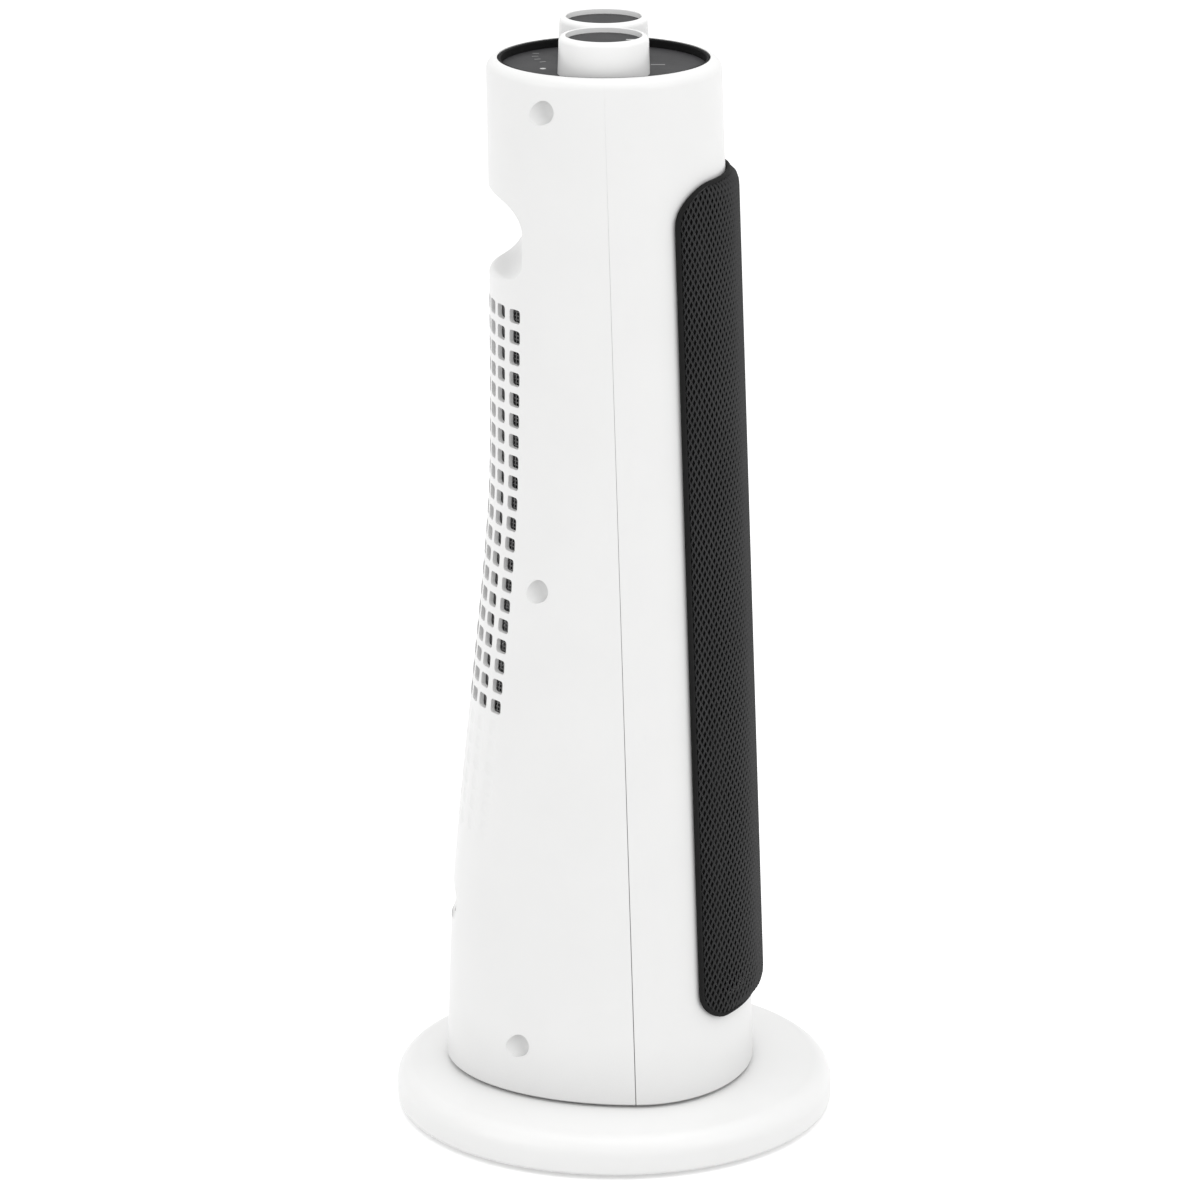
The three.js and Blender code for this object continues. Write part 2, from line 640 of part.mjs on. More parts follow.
// The grille's and the window's outline: sides that follow the taper, and round corners
function frontOutline(inset, topCorner, bottomCorner) {
  const low = GRILLE_LOW + inset;
  const high = GRILLE_HIGH - inset;
  const across = Math.sin(radians(GRILLE_HALF_ANGLE_DEG));
  const side = (z) => (halfWidthAt(z) + GRILLE_EDGE_PROUD) * across - inset;
  const shape = new THREE.Shape();
  shape.moveTo(-side(low) + bottomCorner, low);
  shape.lineTo(side(low) - bottomCorner, low);
  shape.quadraticCurveTo(side(low), low, side(low + bottomCorner), low + bottomCorner);
  shape.lineTo(side(high - topCorner), high - topCorner);
  shape.quadraticCurveTo(side(high), high, side(high) - topCorner, high);
  shape.lineTo(-side(high) + topCorner, high);
  shape.quadraticCurveTo(-side(high), high, -side(high - topCorner), high - topCorner);
  shape.lineTo(-side(low + bottomCorner), low + bottomCorner);
  shape.quadraticCurveTo(-side(low), low, -side(low) + bottomCorner, low);
  return shape;
}

const WINDOW_LOW = GRILLE_LOW + GRILLE_LEDGE;
const WINDOW_HIGH = GRILLE_HIGH - GRILLE_LEDGE;

// A loft of the tower's skin moved in, coarser than the skin itself
function insetLoft(inset) {
  return skinLoft(skinStations(TOWER_BOTTOM, TOWER_TOP - RIM_ROUND, -inset, 2), CAVITY_SEGMENTS);
}

function frontShell(whole, wallMiddle) {
  const start = -FOOT_FRONT_REACH * WINDOW_START_SHARE;
  const window = frontOutline(GRILLE_LEDGE, WINDOW_CORNER, WINDOW_CORNER);
  const cutter = extrudedAlongY(window, -FOOT_FRONT_REACH - OVERRUN, start);
  const inside = insetLoft(SHELL_WALL + SEAT_GAP * 2);
  const tongues = shellScrews.map((screw) => screwTongue(screw, inside, wallMiddle));
  return joined([whole.intersect(seamHalf(-1)).subtract(cutter), ...tongues]);
}

// Where the rear lies at a place across and a height, and which way it faces there, in degrees round
function rearPlace(x, z) {
  const turn = Math.acos(x / halfWidthAt(z));
  const depth = rearAt(z) - seamAt(z);
  const facing = Math.atan2(Math.sin(turn) / depth, Math.cos(turn) / halfWidthAt(z));
  return { y: seamAt(z) + Math.sin(turn) * depth, facing: facing / Math.PI * HALF_TURN_DEG };
}

// Rows of holes, each cut square to the skin where it lies
function ventCutters() {
  const half = [VENT_WIDTH / 2, VENT_HEIGHT / 2];
  const cutters = [];
  for (let row = 0; row < VENT_ROWS; row += 1) {
    const z = FAN_HIGH - VENT_DROP - row * VENT_ROW_PITCH;
    for (let column = 0; column < VENT_COLUMNS; column += 1) {
      const x = (column - (VENT_COLUMNS - 1) / 2) * VENT_COLUMN_PITCH;
      const { y, facing } = rearPlace(x, z);
      const hole = block([-SHELL_WALL * 2, -half[0], -half[1]], [SHELL_WALL * 2, half[0], half[1]]);
      cutters.push(hole.rotate([0, 0, facing]).translate([x, y, z]));
    }
  }
  return cutters;
}

// Thins the wall behind the field of holes
function ventPocket() {
  const reach = VENT_COLUMNS * VENT_COLUMN_PITCH / 2;
  const margin = (VENT_ROW_PITCH + VENT_HEIGHT) / 2;
  const high = FAN_HIGH - VENT_DROP;
  const low = high - (VENT_ROWS - 1) * VENT_ROW_PITCH;
  const field = block([-reach, FAN_SHIFT, low - margin], [reach, FOOT_REAR_REACH + OVERRUN, high + margin]);
  const stations = skinStations(TOWER_BOTTOM, TOWER_TOP - RIM_ROUND, -VENT_WALL);
  return skinLoft(stations, SKIN_SEGMENTS).intersect(field);
}

function rearShell(whole, wallMiddle) {
  const glandZ = TOWER_BOTTOM + GLAND_HEIGHT;
  const rear = rearAt(glandZ);
  const recess = rear - GLAND_RECESS_DEPTH;
  const bossRadius = GLAND_RECESS_RADIUS + GLAND_BOSS_WALL;
  const boss = rodAlongY(bossRadius, recess - GLAND_BOSS_WALL, rear + OVERRUN, 0, glandZ);
  const bosses = joined([boss, ...shellScrews.map(screwBoss)]).intersect(wallMiddle);
  const shank = flatsAt(SCREW_RADIUS + SHAFT_GAP);
  const holes = [
    rodAlongY(GLAND_RECESS_RADIUS, recess, rear + OVERRUN, 0, glandZ),
    rodAlongY(GLAND_STEM_RADIUS + SEAT_GAP, recess - OVERRUN, rear + OVERRUN, 0, glandZ),
    ...shellScrews.map((screw) => screwRod(screw, CUP_RADIUS, cupFloor(screw), screw.x + OVERRUN)),
    ...shellScrews.map((screw) => screwRod(screw, shank, cupFloor(screw) - OVERRUN, screw.x)),
    ventPocket(),
    ...ventCutters(),
  ];
  return cut(whole.add(bosses).intersect(seamHalf(1)), holes);
}

function cordGland() {
  const z = TOWER_BOTTOM + GLAND_HEIGHT;
  const seat = rearAt(z) - GLAND_RECESS_DEPTH + SEAT_GAP;
  const flange = rodAlongY(GLAND_RECESS_RADIUS - SEAT_GAP, seat, seat + GLAND_FLANGE_THICK, 0, z);
  const stem = rodAlongY(GLAND_STEM_RADIUS, seat - GLAND_BOSS_WALL - GLAND_TAIL, seat + FUSE, 0, z);
  return flange.add(stem).subtract(rodAlongY(GLAND_BORE_RADIUS, seat - OVERRUN, seat + OVERRUN, 0, z));
}

// Front grille: a curved panel that stands proud of the shell, most at its middle
function grillePanel() {
  const low = GRILLE_LOW;
  const high = GRILLE_HIGH;
  const middle = -QUARTER_TURN;
  const half = radians(GRILLE_HALF_ANGLE_DEG) * GRILLE_SPREAD_SHARE;
  const ends = GRILLE_END_SHARES.map((share) => share * GRILLE_END_ROUND);
  const between = REAR_SWELL_SHARES.map(([share]) => TOWER_BOTTOM + share * TOWER_HEIGHT)
    .filter((z) => z > low + GRILLE_END_ROUND * 2 && z < high - GRILLE_END_ROUND * 2)
    .filter((z, i) => i % 2 === 0);
  const lowEnd = ends.map((rise) => low + rise);
  const highEnd = ends.map((drop) => high - drop).reverse();
  const heights = [...lowEnd, ...between, ...highEnd];
  const rows = heights.map((z) => {
    const inward = Math.min(z - low, high - z, GRILLE_END_ROUND) / GRILLE_END_ROUND;
    const crown = GRILLE_CROWN * Math.sqrt(1 - (1 - inward) ** 2);
    const point = (i, side) => {
      const share = i / GRILLE_ACROSS * 2 - 1;
      const swell = crown * Math.cos(share * QUARTER_TURN) ** 2;
      const proud = side > 0 ? GRILLE_EDGE_PROUD + swell : Math.max(
        GRILLE_EDGE_PROUD + swell - GRILLE_THICK, SEAT_GAP);
      return skinPoint(middle + share * half, z, proud);
    };
    const across = [...Array(GRILLE_ACROSS + 1).keys()];
    return [...across.map((i) => point(i, 1)), ...across.map((i) => point(GRILLE_ACROSS - i, -1))];
  });
  return loop(rows);
}

// Closes rows of points, each a closed loop of as many points, into one body.
function loop(rows) {
  const count = rows[0].length;
  const points = rows.flat();
  const index = [];
  for (let k = 0; k < rows.length - 1; k += 1) {
    for (let i = 0; i < count; i += 1) {
      const [a, b] = [k * count + i, k * count + (i + 1) % count];
      index.push(a, b, b + count, a, b + count, a + count);
    }
  }
  for (const [row, flip] of [[0, true], [rows.length - 1, false]]) {
    for (let i = 0; i < count / 2 - 1; i += 1) {
      const [a, b] = [row * count + i, row * count + i + 1];
      const [c, d] = [row * count + count - 2 - i, row * count + count - 1 - i];
      index.push(...(flip ? [a, c, b, a, d, c] : [a, b, c, a, c, d]));
    }
  }
  const geometry = new THREE.BufferGeometry();
  geometry.setAttribute('position', new THREE.Float32BufferAttribute(points.flat(), 3));
  geometry.setIndex(index);
  return solid(geometry);
}

// Staggered diamond holes with strands between them
function meshHoles() {
  const low = GRILLE_LOW + GRILLE_BORDER + MESH_ROW_PITCH;
  const high = GRILLE_HIGH - GRILLE_BORDER - MESH_ROW_PITCH;
  const rows = Math.floor((high - low) / MESH_ROW_PITCH);
  const side = (z) => halfWidthAt(z) * Math.sin(radians(GRILLE_HALF_ANGLE_DEG)) - GRILLE_BORDER;
  const holes = [];
  for (let row = 0; row <= rows; row += 1) {
    const z = low + row * (high - low) / rows;
    const reach = side(z) - MESH_COLUMN_PITCH / 2;
    const count = Math.floor(reach / MESH_COLUMN_PITCH);
    for (let column = -count; column <= count; column += 1) {
      const x = (column + (row % 2) / 2) * MESH_COLUMN_PITCH;
      if (Math.abs(x) > reach) continue;
      const [halfX, halfZ] = [(MESH_COLUMN_PITCH - MESH_STRAND) / 2, MESH_ROW_PITCH - MESH_STRAND];
      const diamond = outline([[x - halfX, z], [x, z - halfZ], [x + halfX, z], [x, z + halfZ]]);
      holes.push(extrudedAlongY(diamond, -FOOT_FRONT_REACH - OVERRUN, frontAt(z) * WINDOW_START_SHARE));
    }
  }
  return holes;
}

function frontGrille() {
  const shape = frontOutline(0, GRILLE_TOP_CORNER, GRILLE_BOTTOM_CORNER);
  const prism = extrudedAlongY(shape, -FOOT_FRONT_REACH - OVERRUN, 0);
  return cut(grillePanel().intersect(prism), meshHoles());
}

// Base
function baseCover() {
  const inner = SPIGOT_RADIUS + COLLAR_GAP;
  const arc = (radius, from, to, steps) => [...Array(steps + 1).keys()].map((i) => {
    const turn = blend(from, to, i / steps);
    const [cx, cz] = [BASE_RADIUS - BASE_EDGE_ROUND, BASE_TOP_HEIGHT - BASE_DOME_DROP - BASE_EDGE_ROUND];
    return [cx + Math.cos(turn) * radius, cz + Math.sin(turn) * radius];
  });
  const domeMiddle = blend(BASE_FLAT_RADIUS, BASE_RADIUS - BASE_EDGE_ROUND, BASE_DOME_SHARE);
  const domeDrop = BASE_DOME_DROP * BASE_DOME_SHARE ** 2;
  const toe = [...Array(BASE_TOE_STEPS + 1).keys()].map((i) => {
    const turn = i / BASE_TOE_STEPS * QUARTER_TURN;
    const inset = BASE_TOE_ROUND * (1 - Math.cos(turn));
    return [BASE_RADIUS - inset, PLATE_LOW + BASE_TOE_ROUND * (1 - Math.sin(turn))];
  });
  const profile = [
    [inner, SPIGOT_LOW],
    [inner, BASE_TOP_HEIGHT],
    [BASE_FLAT_RADIUS, BASE_TOP_HEIGHT],
    [domeMiddle, BASE_TOP_HEIGHT - domeDrop],
    ...arc(BASE_EDGE_ROUND, QUARTER_TURN, 0, BASE_EDGE_STEPS),
    ...toe,
    [BASE_RADIUS - BASE_WALL, PLATE_LOW],
    ...arc(BASE_EDGE_ROUND - BASE_WALL, 0, QUARTER_TURN, 1),
    [BASE_FLAT_RADIUS, BASE_TOP_HEIGHT - BASE_WALL],
    [inner + COLLAR_WALL, BASE_TOP_HEIGHT - BASE_WALL],
    [inner + COLLAR_WALL, SPIGOT_LOW],
    [inner, SPIGOT_LOW],
  ];
  return turned(profile, sidesFor(BASE_RADIUS));
}

function basePlate() {
  const radius = BASE_RADIUS - BASE_WALL - SEAT_GAP;
  const postTop = tipSwitchLow() - SEAT_GAP;
  const posts = [-1, 1].map((side) => (
    rod(TIP_POST_RADIUS, PLATE_HIGH - FUSE, postTop, -TIP_SHIFT, tipPostY(side))));
  const hole = through(PLUNGER_RADIUS + SHAFT_GAP, PLATE_LOW, PLATE_HIGH, -TIP_SHIFT, 0);
  const disc = rod(radius, PLATE_LOW, PLATE_HIGH);
  return joined([disc, ...posts]).subtract(hole);
}

function baseWeight() {
  const inner = SPIGOT_RADIUS + COLLAR_GAP + COLLAR_WALL + RING_OVERLAP + WEIGHT_GAP;
  const outer = BASE_RADIUS - BASE_WALL - WEIGHT_GAP;
  const half = radians(WEIGHT_NOTCH_DEG / 2);
  const shape = new THREE.Shape();
  shape.absarc(0, 0, outer, -Math.PI + half, Math.PI - half);
  shape.absarc(0, 0, inner, Math.PI - half, -Math.PI + half, true);
  return extruded(shape, PLATE_HIGH + SEAT_GAP, PLATE_HIGH + SEAT_GAP + WEIGHT_THICK, sidesFor(outer) / 2);
}

function footPad(i) {
  const turn = (i + 0.5) / PAD_COUNT * FULL_TURN;
  const circle = BASE_RADIUS * PAD_CIRCLE_SHARE;
  const profile = [
    [0, 0],
    [PAD_RADIUS - PAD_BEVEL, 0],
    [PAD_RADIUS, PAD_BEVEL],
    [PAD_RADIUS, PAD_HEIGHT],
    [0, PAD_HEIGHT],
  ];
  return turned(profile, sidesFor(PAD_RADIUS), Math.cos(turn) * circle, Math.sin(turn) * circle);
}

// Tip-over switch, above its plunger on two posts of the base plate
const tipPostY = (side) => side * (TIP_SWITCH_SIZE.y / 2 - TIP_POST_RADIUS);
const plungerFlangeLow = () => PLATE_HIGH + TIP_TRAVEL + SEAT_GAP;
const plungerHigh = () => plungerFlangeLow() + PLUNGER_FLANGE_THICK + PLUNGER_NOSE_HEIGHT;
const tipSwitchLow = () => plungerHigh() + SEAT_GAP;

function tipPlunger() {
  const flange = plungerFlangeLow();
  const profile = [
    [0, 0],
    [PLUNGER_RADIUS - PAD_BEVEL, 0],
    [PLUNGER_RADIUS, PAD_BEVEL],
    [PLUNGER_RADIUS, flange],
    [PLUNGER_FLANGE_RADIUS, flange],
    [PLUNGER_FLANGE_RADIUS, flange + PLUNGER_FLANGE_THICK],
    [PLUNGER_NOSE_RADIUS, flange + PLUNGER_FLANGE_THICK],
    [PLUNGER_NOSE_RADIUS, plungerHigh()],
    [0, plungerHigh()],
  ];
  return turned(profile, sidesFor(PLUNGER_FLANGE_RADIUS), -TIP_SHIFT, 0);
}

function tipSwitch() {
  const { x, y, z } = TIP_SWITCH_SIZE;
  const low = tipSwitchLow();
  const body = block([-TIP_SHIFT - x / 2, -y / 2, low], [-TIP_SHIFT + x / 2, y / 2, low + z]);
  const terminals = [...Array(TIP_TERMINAL_COUNT).keys()].map((i) => {
    const middle = (i - (TIP_TERMINAL_COUNT - 1) / 2) * TIP_TERMINAL.y * 2;
    const side = -TIP_SHIFT + x / 2;
    return block(
      [side - FUSE, middle - TIP_TERMINAL.y / 2, low + z / 2],
      [side + TIP_TERMINAL.x, middle + TIP_TERMINAL.y / 2, low + z / 2 + TIP_TERMINAL.z],
    );
  });
  return joined([body, ...terminals]);
}

// Swing bearing and drive
const ringScrewRadius = () => SPIGOT_RADIUS - SPIGOT_WALL - RING_BOSS_RADIUS + FUSE;

function ringScrewPlace(i) {
  const turn = radians(RING_SCREW_START_DEG + i * RING_SCREW_STEP_DEG);
  return [Math.cos(turn) * ringScrewRadius(), Math.sin(turn) * ringScrewRadius()];
}

const ringScrewPlaces = [...Array(RING_SCREW_COUNT).keys()].map(ringScrewPlace);

function glideRing() {
  const inner = SPIGOT_RADIUS + COLLAR_GAP + COLLAR_WALL / 2;
  const low = BASE_TOP_HEIGHT + SEAT_GAP;
  return tube(inner + GLIDE_WIDTH, inner, low, low + GLIDE_THICK);
}

function towerFoot() {
  const bossLow = SPIGOT_LOW;
  const screwLength = SCREW_TAIL * 2;
  const plate = innerPlate(TOWER_BOTTOM, FOOT_PLATE_HIGH);
  const spigot = tube(SPIGOT_RADIUS, SPIGOT_RADIUS - SPIGOT_WALL, bossLow, TOWER_BOTTOM + FUSE);
  const bosses = ringScrewPlaces.map(([x, y]) => rod(RING_BOSS_RADIUS, bossLow, TOWER_BOTTOM + FUSE, x, y));
  const holes = [
    ...ringScrewPlaces.map(([x, y]) => (
      rod(flatsAt(SCREW_RADIUS + SHAFT_GAP), bossLow - OVERRUN, bossLow + screwLength, x, y))),
    through(SHAFT_RADIUS + SHAFT_GAP * 2, TOWER_BOTTOM, FOOT_PLATE_HIGH, 0, CRANK_SHIFT),
    rod(WIRE_HOLE_RADIUS, TOWER_BOTTOM - OVERRUN, FOOT_PLATE_HIGH + OVERRUN, 0, -CRANK_SHIFT),
  ];
  return cut(joined([plate, spigot, ...bosses]), holes);
}

function retainingRing() {
  const outer = SPIGOT_RADIUS + COLLAR_GAP + COLLAR_WALL + RING_OVERLAP;
  const ring = tube(outer, outer - RING_WIDTH, RING_LOW, RING_HIGH);
  return cut(ring, ringScrewPlaces.map(([x, y]) => (
    rod(flatsAt(SCREW_RADIUS + SHAFT_GAP), RING_LOW - OVERRUN, RING_HIGH + OVERRUN, x, y))));
}

function ringScrew([x, y]) {
  const seat = RING_LOW - SEAT_GAP;
  const head = rod(SCREW_HEAD_RADIUS, seat - SCREW_HEAD_HEIGHT, seat, x, y);
  return head.add(rod(SCREW_RADIUS, seat - FUSE, SPIGOT_LOW + SCREW_TAIL, x, y));
}

const yokeHigh = () => crankDiscLow() - YOKE_DROP;
const crankDiscLow = () => TOWER_BOTTOM - SEAT_GAP - CRANK_HUB_RADIUS / 2 - SEAT_GAP - CRANK_THICK;

function swingYoke() {
  const slotHalf = PIN_RADIUS + PIN_SIDE_GAP;
  const far = CRANK_SHIFT + CRANK_THROW;
  const near = CRANK_SHIFT;
  const low = yokeHigh() - YOKE_THICK;
  const steps = FEWEST_SIDES / 2;
  const slotShape = (half, from, to) => {
    const shape = new THREE.Shape();
    shape.moveTo(half, from);
    shape.absarc(0, to, half, 0, Math.PI);
    shape.absarc(0, from, half, Math.PI, FULL_TURN);
    return shape;
  };
  const arm = extruded(slotShape(slotHalf + YOKE_EDGE, 0, far), low, yokeHigh(), steps);
  const post = rod(YOKE_HUB_RADIUS, PLATE_HIGH + SEAT_GAP, low + FUSE);
  const slot = extruded(slotShape(slotHalf, near, far), low - OVERRUN, yokeHigh() + OVERRUN, steps);
  return arm.add(post).subtract(slot);
}

function swingCrank() {
  const low = crankDiscLow();
  const high = low + CRANK_THICK;
  const hubHigh = TOWER_BOTTOM - SEAT_GAP;
  const discRadius = CRANK_THROW + PIN_RADIUS * 2;
  const pinLow = yokeHigh() - YOKE_THICK - SEAT_GAP;
  const disc = rod(discRadius, low, high, 0, CRANK_SHIFT);
  const hub = rod(CRANK_HUB_RADIUS, high - FUSE, hubHigh, 0, CRANK_SHIFT);
  const pin = rod(PIN_RADIUS, pinLow, low + FUSE, 0, CRANK_SHIFT + CRANK_THROW);
  const bore = rod(flatsAt(BORE_RADIUS), low - OVERRUN, hubHigh + OVERRUN, 0, CRANK_SHIFT);
  return joined([disc, hub, pin]).subtract(bore);
}

const swingMotorLow = () => FOOT_PLATE_HIGH + SEAT_GAP;
const swingShaftHigh = () => swingMotorLow() + SWING_MOTOR_HEIGHT / 2;

function swingMotorShaft() {
  return rod(SHAFT_RADIUS, crankDiscLow() + SEAT_GAP, swingShaftHigh(), 0, CRANK_SHIFT);
}

function swingMotor() {
  const low = swingMotorLow();
  const high = low + SWING_MOTOR_HEIGHT;
  const profile = [
    [0, low],
    [SWING_MOTOR_RADIUS, low],
    [SWING_MOTOR_RADIUS, high - SWING_MOTOR_BEVEL],
    [SWING_MOTOR_RADIUS - SWING_MOTOR_BEVEL, high],
    [0, high],
  ];
  const can = turned(profile, sidesFor(SWING_MOTOR_RADIUS), 0, CRANK_SHIFT);
  const halfLug = MOTOR_LUG_WIDTH / 2;
  const lugs = block(
    [-MOTOR_LUG_REACH - halfLug, CRANK_SHIFT - halfLug, low],
    [MOTOR_LUG_REACH + halfLug, CRANK_SHIFT + halfLug, low + MOTOR_LUG_THICK],
  );
  const holes = [-1, 1].map((side) => (
    through(MOTOR_LUG_HOLE_RADIUS, low, low + MOTOR_LUG_THICK, side * MOTOR_LUG_REACH, CRANK_SHIFT)));
  const bore = rod(flatsAt(BORE_RADIUS), low - OVERRUN, swingShaftHigh() + SEAT_GAP, 0, CRANK_SHIFT);
  return cut(can.add(lugs), [...holes, bore]);
}

// Top panel, bracket, switches and knobs
const knobX = (side) => side * KNOB_SPACING / 2;
const panelBosses = [-1, 1].flatMap((sx) => [-1, 1].map((sy) => [
  sx * PANEL_BOSS_X, HEAD_SHIFT + sy * PANEL_BOSS_Y]));

// A tray with an upright lip that lines the rim
function topPanel() {
  const room = PANEL_RADIUS - PANEL_LIP_WALL;
  const tray = rod(PANEL_RADIUS, PANEL_LOW, PANEL_LIP_HIGH, 0, HEAD_SHIFT, SKIN_SEGMENTS)
    .subtract(rod(room, PANEL_HIGH, PANEL_LIP_HIGH + OVERRUN, 0, HEAD_SHIFT, SKIN_SEGMENTS));
  const bosses = panelBosses.map(([x, y]) => (
    rod(PANEL_BOSS_RADIUS, PANEL_LOW - PANEL_BOSS_HEIGHT, PANEL_LOW + FUSE, x, y)));
  const holes = [-1, 1].map((side) => (
    through(SHAFT_RADIUS + SHAFT_GAP * 2, PANEL_LOW, PANEL_HIGH, knobX(side), HEAD_SHIFT)));
  return cut(joined([tray, ...bosses]), holes);
}

function controlBracket() {
  const plate = block(
    [-BRACKET_HALF_WIDTH, HEAD_SHIFT - BRACKET_HALF_DEPTH, BRACKET_LOW],
    [BRACKET_HALF_WIDTH, HEAD_SHIFT + BRACKET_HALF_DEPTH, BRACKET_HIGH],
  );
  const holes = [-1, 1].map((side) => (
    through(COLLAR_RADIUS + SHAFT_GAP, BRACKET_LOW, BRACKET_HIGH, knobX(side), HEAD_SHIFT)));
  return cut(plate, holes);
}

const controlHigh = () => BRACKET_LOW - SEAT_GAP;

function controlCollar(side) {
  return rod(COLLAR_RADIUS, controlHigh() - FUSE, BRACKET_HIGH + COLLAR_HEIGHT, knobX(side), HEAD_SHIFT);
}

function controlBore(side) {
  const low = controlHigh() - SHAFT_DEPTH - SEAT_GAP;
  return rod(flatsAt(BORE_RADIUS), low, PANEL_HIGH, knobX(side), HEAD_SHIFT);
}

function terminals(x, low, count) {
  return [...Array(count).keys()].map((i) => {
    const y = HEAD_SHIFT + (i - (count - 1) / 2) * TERMINAL_SIZE.z;
    return block(
      [x - TERMINAL_SIZE.x / 2, y - TERMINAL_SIZE.y / 2, low - TERMINAL_SIZE.z],
      [x + TERMINAL_SIZE.x / 2, y + TERMINAL_SIZE.y / 2, low + FUSE],
    );
  });
}

function modeSwitch() {
  const half = MODE_SWITCH_WIDTH / 2;
  const x = knobX(-1);
  const low = controlHigh() - MODE_SWITCH_HEIGHT;
  const body = block([x - half, HEAD_SHIFT - half, low], [x + half, HEAD_SHIFT + half, controlHigh()]);
  return joined([body, controlCollar(-1), ...terminals(x, low, MODE_TERMINALS)]).subtract(controlBore(-1));
}

function thermostat() {
  const x = knobX(1);
  const low = controlHigh() - THERMOSTAT_HEIGHT;
  const body = rod(THERMOSTAT_RADIUS, low, controlHigh(), x, HEAD_SHIFT);
  const tabs = terminals(x, low, THERMOSTAT_TERMINALS);
  return joined([body, controlCollar(1), ...tabs]).subtract(controlBore(1));
}

function controlShaft(side) {
  const low = controlHigh() - SHAFT_DEPTH;
  return rod(SHAFT_RADIUS, low, KNOB_WEB_LOW, knobX(side), HEAD_SHIFT);
}

// Points over a rounded outer edge, from the side up to the top
function rounded(radius, high, round, steps) {
  return [...Array(steps + 1).keys()].map((i) => {
    const turn = i / steps * QUARTER_TURN;
    return [radius - round * (1 - Math.cos(turn)), high - round * (1 - Math.sin(turn))];
  });
}

function knob(side) {
  const top = KNOB_RADIUS - KNOB_TAPER;
  const inside = top - KNOB_WALL;
  const bossLow = KNOB_LOW + KNOB_WEB;
  const capSeat = inside + KNOB_TAPER;
  const profile = [
    [BORE_RADIUS, bossLow],
    [KNOB_BOSS_RADIUS, bossLow],
    [KNOB_BOSS_RADIUS, KNOB_WEB_LOW],
    [inside, KNOB_WEB_LOW],
    [inside, KNOB_LOW],
    [KNOB_RADIUS, KNOB_LOW],
    ...rounded(top, KNOB_HIGH, KNOB_ROUND, KNOB_ROUND_STEPS),
    [capSeat, KNOB_HIGH],
    [capSeat, KNOB_WEB_HIGH],
    [0, KNOB_WEB_HIGH],
    [0, KNOB_WEB_LOW + SEAT_GAP],
    [BORE_RADIUS, KNOB_WEB_LOW + SEAT_GAP],
    [BORE_RADIUS, bossLow],
  ];
  return turned(profile, sidesFor(KNOB_RADIUS), knobX(side), HEAD_SHIFT);
}

function knobCap(side) {
  const radius = KNOB_RADIUS - KNOB_WALL - SEAT_GAP;
  const profile = [
    [0, CAP_LOW],
    [radius, CAP_LOW],
    [radius, CAP_HIGH - CAP_BEVEL],
    [radius - CAP_BEVEL, CAP_HIGH],
    [0, CAP_HIGH],
  ];
  return turned(profile, sidesFor(KNOB_RADIUS), knobX(side), HEAD_SHIFT);
}

// Air path
function fanPoint(degrees, radius) {
  const turn = radians(degrees);
  return [Math.cos(turn) * radius, FAN_SHIFT + Math.sin(turn) * radius];
}

// An upright mask that closes the window in front of what isn't the heater
function frontMask(low, high) {
  const points = [...Array(MASK_STEPS + 1).keys()].map((i) => {
    const turn = radians((i / MASK_STEPS * 2 - 1) * MASK_HALF_ANGLE_DEG) - QUARTER_TURN;
    return skinPoint(turn, high, -MASK_INSET).slice(0, 2);
  });
  return extruded(strip(points, DUCT_WALL), low, high);
}

